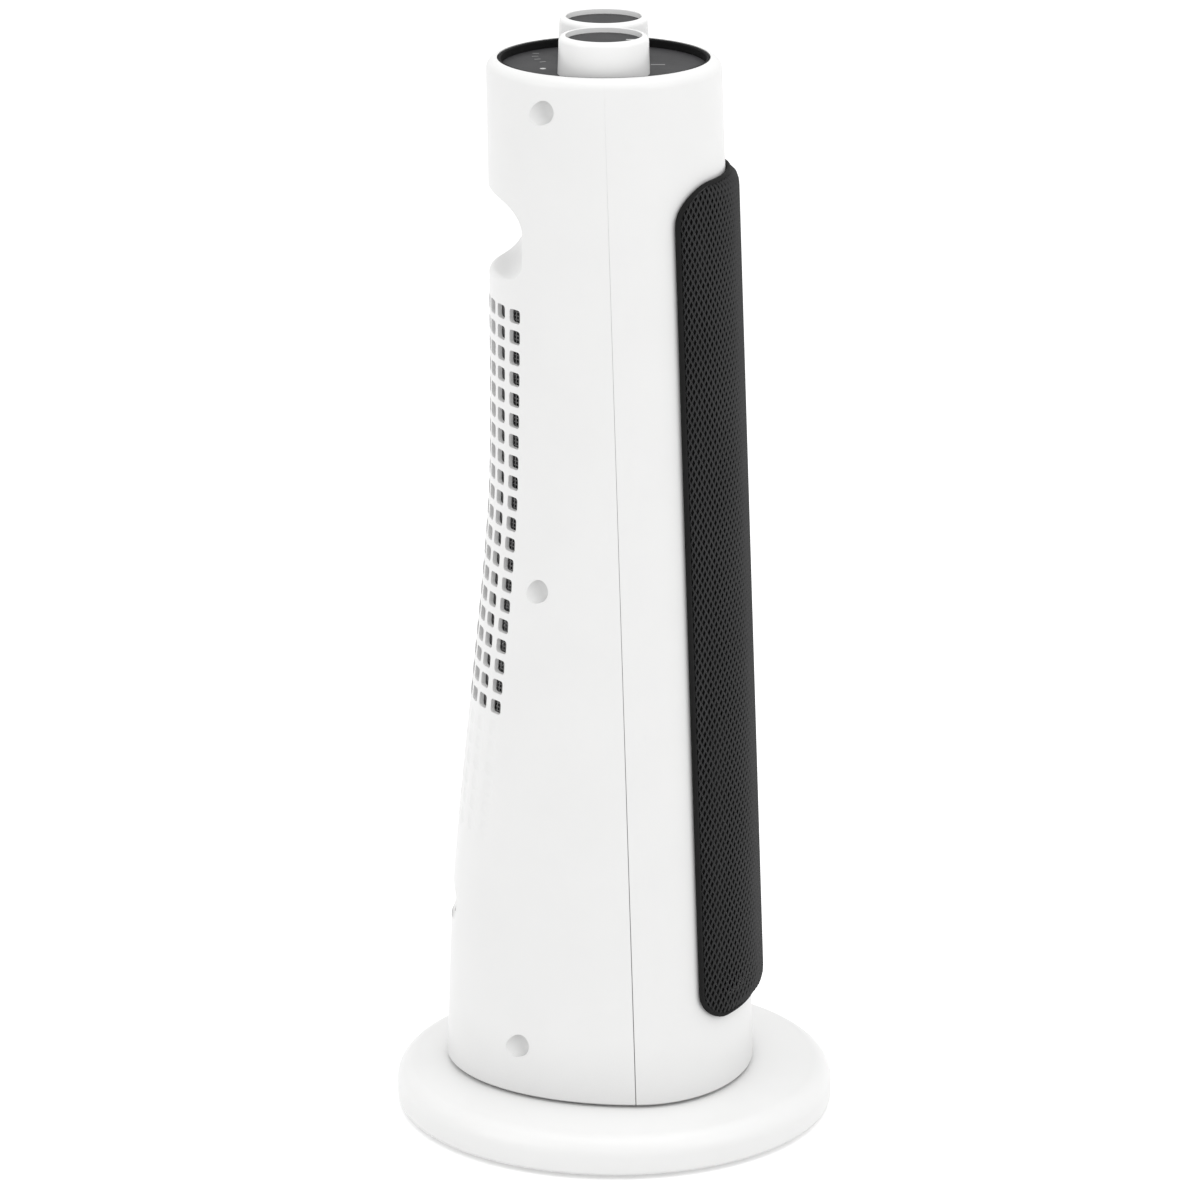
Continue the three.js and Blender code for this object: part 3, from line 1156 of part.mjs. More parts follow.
// The scroll opens out from the fan to the heater on the left; the tongue stands close on the right.
// The cheeks fill the room beside the heater, and the shields run on from it to the grille.
function airDuct() {
  const near = FAN_RADIUS + DUCT_FAN_GAP;
  const frameSide = HEATER_HALF_WIDTH - DUCT_WALL;
  const frameRear = heaterRear() + SEAT_GAP * 2;
  const bend = (turns, shares) => turns.map((turn, i) => fanPoint(turn, near * shares[i]));
  const scroll = [
    [-DUCT_REACH, fanPoint(SCROLL_END_DEG, near)[1]],
    ...bend(SCROLL_TURNS_DEG, SCROLL_REACH_SHARES),
    [-frameSide, frameRear + DUCT_WALL * 3],
    [-frameSide, frameRear],
  ];
  const tongue = [
    [frameSide, frameRear],
    ...bend(TONGUE_TURNS_DEG, TONGUE_REACH_SHARES),
    [DUCT_REACH, fanPoint(TONGUE_END_DEG, near)[1]],
  ];
  const cheekY = heaterRear() + SEAT_GAP + DUCT_WALL / 2;
  const cheeks = [-1, 1].map((side) => [[side * frameSide, cheekY], [side * CHEEK_REACH, cheekY]]);
  const shieldX = HEATER_HALF_WIDTH + SEAT_GAP + DUCT_WALL / 2;
  const shieldLines = [-1, 1].map((side) => [
    [side * shieldX, SHIELD_LAP - HEATER_FRONT],
    [side * shieldX, -FOOT_FRONT_REACH],
  ]);
  const [low, high] = [DUCT_FLOOR_HIGH - FUSE, BEARING_PLATE_LOW - SEAT_GAP];
  const upright = (line) => extruded(strip(line, DUCT_WALL), low, high);
  const walls = [scroll, tongue, ...cheeks].map(upright);
  const shields = joined(shieldLines.map(upright)).intersect(insetLoft(SHIELD_INSET));
  const bosses = motorScrewPlaces.map(([x, y]) => (
    rod(MOTOR_BOSS_RADIUS, DUCT_FLOOR_LOW - MOTOR_HANG, DUCT_FLOOR_LOW + FUSE, x, y)));
  const holes = [
    rod(SHAFT_RADIUS + SHAFT_GAP * 4, DUCT_FLOOR_LOW - OVERRUN, DUCT_FLOOR_HIGH + OVERRUN, 0, FAN_SHIFT),
    ...motorScrewPlaces.map(([x, y]) => rod(
      flatsAt(MOTOR_SCREW_RADIUS + SHAFT_GAP), CORE_HIGH, DUCT_FLOOR_LOW - SEAT_GAP, x, y)),
  ];
  const mask = frontMask(WINDOW_LOW - DUCT_WALL, DUCT_FLOOR_HIGH - FUSE);
  const floor = innerPlate(DUCT_FLOOR_LOW, DUCT_FLOOR_HIGH);
  return cut(joined([floor, mask, shields, ...walls, ...bosses]), holes);
}

function bearingPlate() {
  const hole = through(BUSH_RADIUS + SEAT_GAP, BEARING_PLATE_LOW, BEARING_PLATE_HIGH, 0, FAN_SHIFT);
  const mask = frontMask(BEARING_PLATE_LOW + FUSE, WINDOW_HIGH + DUCT_WALL);
  return innerPlate(BEARING_PLATE_LOW, BEARING_PLATE_HIGH).add(mask).subtract(hole);
}

function bearingBush() {
  const low = BEARING_PLATE_LOW - BUSH_FLANGE_THICK;
  const seat = BEARING_PLATE_HIGH + SEAT_GAP;
  const body = rod(BUSH_RADIUS, low, seat + FUSE, 0, FAN_SHIFT);
  const flange = rod(BUSH_FLANGE_RADIUS, seat, seat + BUSH_FLANGE_THICK, 0, FAN_SHIFT);
  return body.add(flange).subtract(through(STUB_RADIUS + SHAFT_GAP, low, seat, 0, FAN_SHIFT));
}

// A forward-curved blade, drawn at the fan's rim
function bladeShape(i) {
  const turn = i / BLADE_COUNT * FULL_TURN;
  const tilt = turn + radians(BLADE_TILT_DEG);
  const rim = FAN_RADIUS - BLADE_THICK;
  const line = [0, 0.5, 1].map((share) => {
    const inward = share * BLADE_CHORD;
    const bulge = BLADE_BULGE * 4 * share * (1 - share);
    return [
      Math.cos(turn) * rim - Math.cos(tilt) * inward - Math.sin(tilt) * bulge,
      Math.sin(turn) * rim - Math.sin(tilt) * inward + Math.cos(tilt) * bulge,
    ];
  });
  return strip(line, BLADE_THICK);
}

function impeller() {
  const places = [...Array(BLADE_COUNT).keys()];
  const blades = places.map((i) => extruded(bladeShape(i), FAN_LOW + FUSE, FAN_HIGH - FUSE));
  const middle = (FAN_LOW + FAN_HIGH) / 2;
  const ringInner = FAN_RADIUS - BLADE_CHORD * FAN_RING_SHARE;
  const discs = [
    rod(FAN_RADIUS, FAN_LOW, FAN_LOW + FAN_DISC_THICK, 0, 0, BLADE_COUNT),
    rod(FAN_RADIUS, FAN_HIGH - FAN_DISC_THICK, FAN_HIGH, 0, 0, BLADE_COUNT),
    tube(FAN_RADIUS, ringInner, middle - FAN_DISC_THICK / 2, middle + FAN_DISC_THICK / 2),
    rod(FAN_HUB_RADIUS, FAN_LOW + FUSE, FAN_LOW + FAN_HUB_HEIGHT),
    rod(STUB_RADIUS, FAN_HIGH - FUSE, FAN_HIGH + STUB_LENGTH),
  ];
  const bore = rod(flatsAt(BORE_RADIUS), FAN_LOW - OVERRUN, fanShaftHigh() + SEAT_GAP);
  return joined([...discs, ...blades]).subtract(bore).translate([0, FAN_SHIFT, 0]);
}

// Heater frame with its fin packs and ceramic bars
const heaterLow = () => DUCT_FLOOR_HIGH + SEAT_GAP;
const heaterHigh = () => BEARING_PLATE_LOW - SEAT_GAP;
const heaterRear = () => -HEATER_FRONT + HEATER_DEPTH;

function heaterFrame() {
  const outer = block(
    [-HEATER_HALF_WIDTH, -HEATER_FRONT, heaterLow()],
    [HEATER_HALF_WIDTH, heaterRear(), heaterHigh()],
  );
  const inner = HEATER_HALF_WIDTH - HEATER_FRAME_WALL;
  return outer.subtract(block(
    [-inner, -HEATER_FRONT - OVERRUN, heaterLow() + HEATER_FRAME_WALL],
    [inner, heaterRear() + OVERRUN, heaterHigh() - HEATER_FRAME_WALL],
  ));
}

// Left edges of the fin packs and ceramic bars, side by side in the frame
function elementPlaces() {
  const inner = (HEATER_HALF_WIDTH - HEATER_FRAME_WALL) * 2;
  const gaps = FIN_PACK_COUNT + PTC_BAR_COUNT + 1;
  const finWidth = (inner - PTC_BAR_COUNT * PTC_BAR_WIDTH - gaps * SEAT_GAP) / FIN_PACK_COUNT;
  const step = finWidth + PTC_BAR_WIDTH + SEAT_GAP * 2;
  const start = -inner / 2 + SEAT_GAP;
  const finLeft = (i) => start + i * step;
  return { finWidth, finLeft, barLeft: (i) => finLeft(i) + finWidth + SEAT_GAP };
}

const elementLow = () => heaterLow() + HEATER_FRAME_WALL + SEAT_GAP;
const elementHigh = () => heaterHigh() - HEATER_FRAME_WALL - SEAT_GAP;

function ptcBar(i) {
  const left = elementPlaces().barLeft(i);
  return block(
    [left, -HEATER_FRONT + PTC_INSET, elementLow()],
    [left + PTC_BAR_WIDTH, heaterRear() - PTC_INSET, elementHigh()],
  );
}

function finPack(i) {
  const { finWidth, finLeft } = elementPlaces();
  const margin = FIN_THICK;
  const [left, right] = [finLeft(i) + margin, finLeft(i) + finWidth - margin];
  const [low, high] = [elementLow() + margin, elementHigh() - margin];
  const line = [...Array(FIN_FOLDS + 1).keys()].map((fold) => (
    [fold % 2 ? right : left, blend(low, high, fold / FIN_FOLDS)]));
  return extrudedAlongY(strip(line, FIN_THICK), -HEATER_FRONT + PTC_INSET, heaterRear() - PTC_INSET);
}

function thermalCutout() {
  const y = -HEATER_FRONT + HEATER_DEPTH / 2;
  const z = heaterHigh() - CUTOUT_DROP;
  const side = -HEATER_HALF_WIDTH - SEAT_GAP;
  const disc = rodAlongX(CUTOUT_RADIUS, side - CUTOUT_HEIGHT, side, y, z);
  const tab = TERMINAL_SIZE;
  const tabs = [-1, 1].map((way) => block(
    [side - tab.y * 2, y - tab.x / 2, z + way * CUTOUT_RADIUS - tab.z / 2],
    [side - tab.y, y + tab.x / 2, z + way * CUTOUT_RADIUS + tab.z / 2],
  ));
  return joined([disc, ...tabs]);
}

function thermalFuse() {
  const x = HEATER_HALF_WIDTH + SEAT_GAP + FUSE_RADIUS;
  const z = heaterHigh() - CUTOUT_DROP;
  return rod(FUSE_RADIUS, z - FUSE_LENGTH / 2, z + FUSE_LENGTH / 2, x, -HEATER_FRONT + HEATER_DEPTH / 2);
}

// Fan motor
const motorScrewPlaces = [-1, 1].map((side) => [side * MOTOR_SCREW_X, FAN_SHIFT]);
const bracketBase = () => CORE_HIGH + SEAT_GAP;
const motorShaftLow = () => CORE_LOW - SEAT_GAP - MOTOR_BRACKET_THICK - MOTOR_CUP_HEIGHT;
const fanShaftHigh = () => FAN_LOW + FAN_HUB_HEIGHT - FAN_DISC_THICK;

function motorCore() {
  const front = FAN_SHIFT - CORE_FRONT;
  const windowFront = front + CORE_LIMB;
  const rear = FAN_SHIFT + CORE_REAR;
  const plate = block([-CORE_HALF_WIDTH, front, CORE_LOW], [CORE_HALF_WIDTH, rear, CORE_HIGH]);
  const window = block(
    [-CORE_WINDOW_HALF_WIDTH, windowFront, CORE_LOW - OVERRUN],
    [CORE_WINDOW_HALF_WIDTH, windowFront + CORE_WINDOW_DEPTH, CORE_HIGH + OVERRUN],
  );
  const bore = rod(flatsAt(ROTOR_RADIUS + AIR_GAP), CORE_LOW - OVERRUN, CORE_HIGH + OVERRUN, 0, FAN_SHIFT);
  const holes = motorScrewPlaces.map(([x, y]) => (
    rod(flatsAt(MOTOR_SCREW_RADIUS + SHAFT_GAP), CORE_LOW - OVERRUN, CORE_HIGH + OVERRUN, x, y)));
  return cut(plate, [window, bore, ...holes]);
}

function motorCoil() {
  const front = FAN_SHIFT - CORE_FRONT;
  const outer = block(
    [-COIL_HALF_WIDTH, front - COIL_WRAP, CORE_LOW - COIL_WRAP],
    [COIL_HALF_WIDTH, front + CORE_LIMB + COIL_WRAP, CORE_HIGH + COIL_WRAP],
  );
  return outer.subtract(block(
    [-COIL_HALF_WIDTH - OVERRUN, front - SEAT_GAP, CORE_LOW - SEAT_GAP],
    [COIL_HALF_WIDTH + OVERRUN, front + CORE_LIMB + SEAT_GAP, CORE_HIGH + SEAT_GAP],
  ));
}

function motorRotor() {
  const inset = SEAT_GAP * 2;
  const body = rod(ROTOR_RADIUS, CORE_LOW + inset, CORE_HIGH - inset, 0, FAN_SHIFT);
  return body.subtract(rod(flatsAt(BORE_RADIUS), CORE_LOW - OVERRUN, CORE_HIGH + OVERRUN, 0, FAN_SHIFT));
}

function motorShaft() {
  return rod(SHAFT_RADIUS, motorShaftLow(), fanShaftHigh(), 0, FAN_SHIFT);
}

// A bearing bracket above the core (1) or below it (-1)
function motorBracket(way) {
  const seat = way > 0 ? bracketBase() : CORE_LOW - SEAT_GAP;
  const span = (near, far) => [seat + way * near, seat + way * far].sort((a, b) => a - b);
  const [low, high] = span(0, MOTOR_BRACKET_THICK);
  const plate = block(
    [-MOTOR_BRACKET_HALF_WIDTH, FAN_SHIFT - MOTOR_BRACKET_HALF_DEPTH, low],
    [MOTOR_BRACKET_HALF_WIDTH, FAN_SHIFT + MOTOR_BRACKET_HALF_DEPTH, high],
  );
  const [cupLow, cupHigh] = span(MOTOR_BRACKET_THICK - FUSE, MOTOR_CUP_HEIGHT);
  const cup = rod(MOTOR_CUP_RADIUS, cupLow, cupHigh, 0, FAN_SHIFT);
  const holes = [
    rod(flatsAt(BORE_RADIUS), low - OVERRUN, high + OVERRUN, 0, FAN_SHIFT),
    ...motorScrewPlaces.map(([x, y]) => (
      rod(flatsAt(MOTOR_SCREW_RADIUS + SHAFT_GAP), low - OVERRUN, high + OVERRUN, x, y))),
  ];
  return cut(plate.add(cup), holes);
}

function motorScrew([x, y]) {
  const seat = CORE_LOW - SEAT_GAP - MOTOR_BRACKET_THICK - SEAT_GAP;
  const head = rod(MOTOR_SCREW_HEAD_RADIUS, seat - MOTOR_SCREW_HEAD_HEIGHT, seat, x, y);
  const tip = DUCT_FLOOR_LOW - MOTOR_HANG + MOTOR_SCREW_BITE;
  return head.add(rod(MOTOR_SCREW_RADIUS, seat - FUSE, tip, x, y));
}

// Finishes
const finish = (color, roughness, metalness = 0) => (
  new THREE.MeshStandardMaterial({ color, roughness, metalness }));
const WHITE = () => finish(0xf0f0ee, 0.38);
const BLACK = () => finish(0x1c1c1d, 0.6);
const CHARCOAL = () => finish(0x47484a, 0.5);
const STEEL = () => finish(0xb4b6b8, 0.35, 1);
const RUBBER = () => finish(0x202020, 0.9);
const NATURAL = () => finish(0xd9d6cc, 0.5);
const ALUMINIUM = () => finish(0xc4c6c9, 0.4, 1);
const CERAMIC = () => finish(0xcfc4ae, 0.8);
const COPPER = () => finish(0xa8622f, 0.45, 0.8);

const root = new THREE.Group();
const base = new THREE.Group();
const tower = new THREE.Group();
root.add(base, tower);

function place(group, name, body, material) {
  const mesh = new THREE.Mesh(geometryOf(body), material);
  mesh.name = name;
  group.add(mesh);
}

const whole = shellWhole();
const wallMiddle = insetLoft(SHELL_WALL / 2);

place(base, 'base_cover', baseCover(), WHITE());
place(base, 'base_plate', basePlate(), WHITE());
place(base, 'base_weight', baseWeight(), STEEL());
for (let i = 0; i < PAD_COUNT; i += 1) place(base, `foot_pad_${i + 1}`, footPad(i), RUBBER());
place(base, 'glide_ring', glideRing(), NATURAL());
place(base, 'swing_yoke', swingYoke(), NATURAL());
place(base, 'tip_switch', tipSwitch(), BLACK());
place(base, 'tip_plunger', tipPlunger(), WHITE());

place(tower, 'tower_foot', towerFoot(), WHITE());
place(tower, 'retaining_ring', retainingRing(), STEEL());
ringScrewPlaces.forEach((at, i) => place(tower, `ring_screw_${i + 1}`, ringScrew(at), STEEL()));
place(tower, 'swing_motor', swingMotor(), STEEL());
place(tower, 'swing_motor_shaft', swingMotorShaft(), STEEL());
place(tower, 'swing_crank', swingCrank(), NATURAL());
place(tower, 'front_shell', frontShell(whole, wallMiddle), WHITE());
place(tower, 'rear_shell', rearShell(whole, wallMiddle), WHITE());
place(tower, 'front_grille', frontGrille(), BLACK());
shellScrews.forEach((screw, i) => place(tower, `shell_screw_${i + 1}`, shellScrew(screw), STEEL()));
place(tower, 'cord_gland', cordGland(), WHITE());

place(tower, 'top_panel', topPanel(), CHARCOAL());
place(tower, 'control_bracket', controlBracket(), STEEL());
place(tower, 'mode_switch', modeSwitch(), BLACK());
place(tower, 'mode_switch_shaft', controlShaft(-1), NATURAL());
place(tower, 'mode_knob', knob(-1), WHITE());
place(tower, 'mode_knob_cap', knobCap(-1), CHARCOAL());
place(tower, 'thermostat', thermostat(), BLACK());
place(tower, 'thermostat_shaft', controlShaft(1), STEEL());
place(tower, 'thermostat_knob', knob(1), WHITE());
place(tower, 'thermostat_knob_cap', knobCap(1), CHARCOAL());

place(tower, 'air_duct', airDuct(), BLACK());
place(tower, 'bearing_plate', bearingPlate(), BLACK());
place(tower, 'bearing_bush', bearingBush(), RUBBER());
place(tower, 'impeller', impeller(), BLACK());
place(tower, 'heater_frame', heaterFrame(), CERAMIC());
for (let i = 0; i < PTC_BAR_COUNT; i += 1) place(tower, `ptc_bar_${i + 1}`, ptcBar(i), ALUMINIUM());
for (let i = 0; i < FIN_PACK_COUNT; i += 1) place(tower, `fin_pack_${i + 1}`, finPack(i), ALUMINIUM());
place(tower, 'thermal_cutout', thermalCutout(), STEEL());
place(tower, 'thermal_fuse', thermalFuse(), CERAMIC());

place(tower, 'fan_motor_core', motorCore(), STEEL());
place(tower, 'fan_motor_coil', motorCoil(), COPPER());
place(tower, 'fan_motor_rotor', motorRotor(), STEEL());
place(tower, 'fan_motor_shaft', motorShaft(), STEEL());
place(tower, 'motor_bracket_upper', motorBracket(1), STEEL());
place(tower, 'motor_bracket_lower', motorBracket(-1), STEEL());
motorScrewPlaces.forEach((at, i) => place(tower, `motor_screw_${i + 1}`, motorScrew(at), STEEL()));

export default root;
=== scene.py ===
"""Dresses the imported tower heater: shells, a mesh grille, dials, screws, finishes and a studio.

Everything is in metres, +Z up, with the origin under the middle of the base. The grille faces -Y.
"""

import logging
import math
from contextlib import contextmanager
from dataclasses import dataclass, replace
from enum import Enum
from typing import Callable, ClassVar, Iterator, Sequence

import bmesh
import bpy
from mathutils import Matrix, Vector

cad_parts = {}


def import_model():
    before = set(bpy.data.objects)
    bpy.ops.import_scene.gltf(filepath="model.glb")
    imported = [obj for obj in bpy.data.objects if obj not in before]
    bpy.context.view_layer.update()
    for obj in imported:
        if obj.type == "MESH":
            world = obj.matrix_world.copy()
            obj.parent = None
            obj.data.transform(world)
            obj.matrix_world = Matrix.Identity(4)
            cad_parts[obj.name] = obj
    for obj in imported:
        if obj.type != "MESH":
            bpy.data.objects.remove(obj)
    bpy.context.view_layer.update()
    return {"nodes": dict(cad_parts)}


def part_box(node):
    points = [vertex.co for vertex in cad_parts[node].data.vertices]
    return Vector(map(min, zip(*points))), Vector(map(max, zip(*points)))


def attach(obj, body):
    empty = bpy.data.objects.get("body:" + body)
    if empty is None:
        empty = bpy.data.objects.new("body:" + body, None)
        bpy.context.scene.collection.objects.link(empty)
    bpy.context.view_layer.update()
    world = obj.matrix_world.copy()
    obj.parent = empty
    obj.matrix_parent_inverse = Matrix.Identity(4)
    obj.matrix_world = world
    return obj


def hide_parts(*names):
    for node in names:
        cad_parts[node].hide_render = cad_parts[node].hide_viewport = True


LOG = logging.getLogger("tower_heater")
QUARTER = math.pi / 2
FULL = math.pi * 2
AXIS_RADIUS = 1e-5
MERGE_DISTANCE = 1e-6
GRID_HALF = 0.5
WHITE_LIGHT = (1.0, 1.0, 1.0, 1.0)

Colour = tuple[float, float, float]
Point = tuple[float, float]
Profile = Sequence[Point]
Socket = bpy.types.NodeSocket
Piece = bpy.types.Object
Material = bpy.types.Material
Tree = bpy.types.NodeTree
Node = bpy.types.Node
Edge = bmesh.types.BMEdge
Inputs = dict[str | int, object]


# Nodes of materials and the world


def connect(tree: Tree, node: Node, inputs: Inputs) -> None:
    """Give a node's inputs their values, or links from other nodes' outputs.

    Args:
        tree: The tree that holds the node.
        node: The node.
        inputs: Values or outputs, by the input's name or number.
    """
    for key, value in inputs.items():
        if isinstance(value, Socket):
            tree.links.new(value, node.inputs[key])
        else:
            node.inputs[key].default_value = value


def add_node(tree: Tree, kind: str, inputs: Inputs) -> Node:
    """Add a node and set its inputs.

    Args:
        tree: The tree that gets the node.
        kind: The node's type.
        inputs: Values or outputs, by the input's name or number.

    Returns:
        The node.
    """
    node = tree.nodes.new(kind)
    connect(tree, node, inputs)
    return node


def white_rays(tree: Tree) -> Socket:
    """Tell camera, mirror and glass rays from the rays that light the object.

    Args:
        tree: The tree that gets the nodes.

    Returns:
        An output of 1 for those rays and 0 for the others.
    """
    path = tree.nodes.new("ShaderNodeLightPath")
    found = path.outputs["Is Camera Ray"]
    for ray in ("Is Glossy Ray", "Is Transmission Ray"):
        most = add_node(tree, "ShaderNodeMath", {0: found, 1: path.outputs[ray]})
        most.operation = "MAXIMUM"
        found = most.outputs["Value"]
    return found


# Finishes


class Relief(Enum):
    """What the surface of a finish is like close up."""

    MOULDED = "moulded"
    BRUSHED = "brushed"
    LAMINATED = "laminated"
    WOUND = "wound"


@dataclass(frozen=True)
class Finish:
    """A finish with its colour, gloss and fine relief.

    Attributes:
        name: The material's name.
        colour: The linear base colour.
        roughness: The mean roughness.
        metallic: 1 for bare metal.
        relief: The kind of fine relief.
        pitch: The size of the relief's grain, in metres.
        depth: The relief's depth, in metres.
        mottle: How far the colour drifts over the surface.
        coat: The weight of a clear glossy skin.
        specular: The strength of its mirror light.
        shade: How far painted shade darkens its hollows.
        CLOUD_SPREAD: The size of the colour's clouds, in grains.
        CLOUD_STOPS: The noise at which the colour is darkest, and at which it is plain.
        SMEAR_SPREAD: The size of the smears in the gloss, in grains.
        SMEAR_SWING: How far the roughness swings about its mean, as a share of it.
        NOISE_DETAIL: The octaves of a noise.
        BRUSH_STRETCH: The scale along Z that draws a noise out to brush marks.
        SHADE_REACH: How near a wall has to be for the painted shade to darken a hollow, in metres.
        SHADE_SAMPLES: The rays that look for such walls.
    """

    CLOUD_SPREAD: ClassVar[float] = 30
    CLOUD_STOPS: ClassVar[tuple[float, float]] = (0.3, 0.6)
    SMEAR_SPREAD: ClassVar[float] = 12
    SMEAR_SWING: ClassVar[float] = 0.12
    NOISE_DETAIL: ClassVar[float] = 3
    BRUSH_STRETCH: ClassVar[float] = 0.05
    SHADE_REACH: ClassVar[float] = 0.03
    SHADE_SAMPLES: ClassVar[int] = 8

    name: str
    colour: Colour
    roughness: float
    metallic: float = 0.0
    relief: Relief = Relief.MOULDED
    pitch: float = 0.0012
    depth: float = 0.00001
    mottle: float = 0.03
    coat: float = 0.0
    specular: float = 0.5
    shade: float = 0.0

    def build(self) -> Material:
        """Make the material.

        Returns:
            The material, with its nodes in place.
        """
        material = bpy.data.materials.new(self.name)
        material.use_nodes = True
        tree = material.node_tree
        place = tree.nodes.new("ShaderNodeTexCoord").outputs["Object"]
        inputs = {
            "Metallic": self.metallic,
            "Coat Weight": self.coat,
            "Coat Roughness": self.roughness / 2,
            "Specular IOR Level": self.specular,
            "Base Color": self._colour(tree, place),
            "Roughness": self._gloss(tree, place),
            "Normal": self._relief(tree, place),
        }
        connect(tree, tree.nodes["Principled BSDF"], inputs)
        return material

    def _noise(self, tree: Tree, place: Socket, pitch: float) -> Socket:
        """Add a noise of a given grain size at a place."""
        inputs = {"Vector": place, "Scale": 1 / pitch, "Detail": self.NOISE_DETAIL}
        return add_node(tree, "ShaderNodeTexNoise", inputs).outputs["Fac"]

    def _colour(self, tree: Tree, place: Socket) -> Socket:
        """Let the colour drift slightly over the surface, and paint shade into its hollows when the
        finish has a shade.

        Args:
            tree: The material's tree.
            place: The object's own coordinates.

        Returns:
            The colour.
        """
        cloud = self._noise(tree, place, self.pitch * self.CLOUD_SPREAD)
        ramp = add_node(tree, "ShaderNodeValToRGB", {"Fac": cloud})
        darker = tuple(channel * (1 - self.mottle) for channel in self.colour)
        stops = zip(ramp.color_ramp.elements, (darker, self.colour), self.CLOUD_STOPS)
        for element, colour, position in stops:
            element.color = (*colour, 1)
            element.position = position
        plain = ramp.outputs["Color"]
        return self._shaded(tree, plain) if self.shade else plain

    def _shaded(self, tree: Tree, colour: Socket) -> Socket:
        """Paint shade into a colour in the hollows, where near walls keep the light out.

        Args:
            tree: The material's tree.
            colour: The colour in the open.

        Returns:
            The darkened colour.
        """
        # Ambient occlusion drives the painted shade: the colour darkens where walls are near.
        hollow = add_node(tree, "ShaderNodeAmbientOcclusion", {"Distance": self.SHADE_REACH})
        hollow.samples = self.SHADE_SAMPLES
        inputs = {"Value": hollow.outputs["AO"], "To Min": 1 - self.shade}
        span = add_node(tree, "ShaderNodeMapRange", inputs)
        darker = tree.nodes.new("ShaderNodeVectorMath")
        darker.operation = "SCALE"
        connect(tree, darker, {0: colour, "Scale": span.outputs["Result"]})
        return darker.outputs["Vector"]

    def _gloss(self, tree: Tree, place: Socket) -> Socket:
        """Let the roughness vary as on handled parts.

        Args:
            tree: The material's tree.
            place: The object's own coordinates.

        Returns:
            The roughness.
        """
        inputs = {
            "Value": self._noise(tree, place, self.pitch * self.SMEAR_SPREAD),
            "To Min": self.roughness * (1 - self.SMEAR_SWING),
            "To Max": self.roughness * (1 + self.SMEAR_SWING),
        }
        return add_node(tree, "ShaderNodeMapRange", inputs).outputs["Result"]

    def _relief(self, tree: Tree, place: Socket) -> Socket:
        """Add the fine relief as a bump.

        Args:
            tree: The material's tree.
            place: The object's own coordinates.

        Returns:
            The bumped normal.
        """
        if self.relief is Relief.MOULDED:
            height = self._noise(tree, place, self.pitch)
        elif self.relief is Relief.BRUSHED:
            height = self._brushed(tree, place)
        else:
            height = self._bands(tree, place)
        bump = add_node(tree, "ShaderNodeBump", {"Height": height, "Distance": self.depth})
        return bump.outputs["Normal"]

    def _brushed(self, tree: Tree, place: Socket) -> Socket:
        """Add a noise drawn out along Z, as brush marks are.

        Args:
            tree: The material's tree.
            place: The object's own coordinates.

        Returns:
            The noise's height.
        """
        inputs = {"Vector": place, "Scale": (1, 1, self.BRUSH_STRETCH)}
        stretch = add_node(tree, "ShaderNodeMapping", inputs)
        return self._noise(tree, stretch.outputs["Vector"], self.pitch)

    def _bands(self, tree: Tree, place: Socket) -> Socket:
        """Add bands: level for stacked sheets, upright for turns of wire.

        Args:
            tree: The material's tree.
            place: The object's own coordinates.

        Returns:
            The bands' height.
        """
        inputs = {"Vector": place, "Scale": 1 / self.pitch / math.pi}
        bands = add_node(tree, "ShaderNodeTexWave", inputs)
        bands.bands_direction = "Z" if self.relief is Relief.LAMINATED else "X"
        return bands.outputs["Fac"]


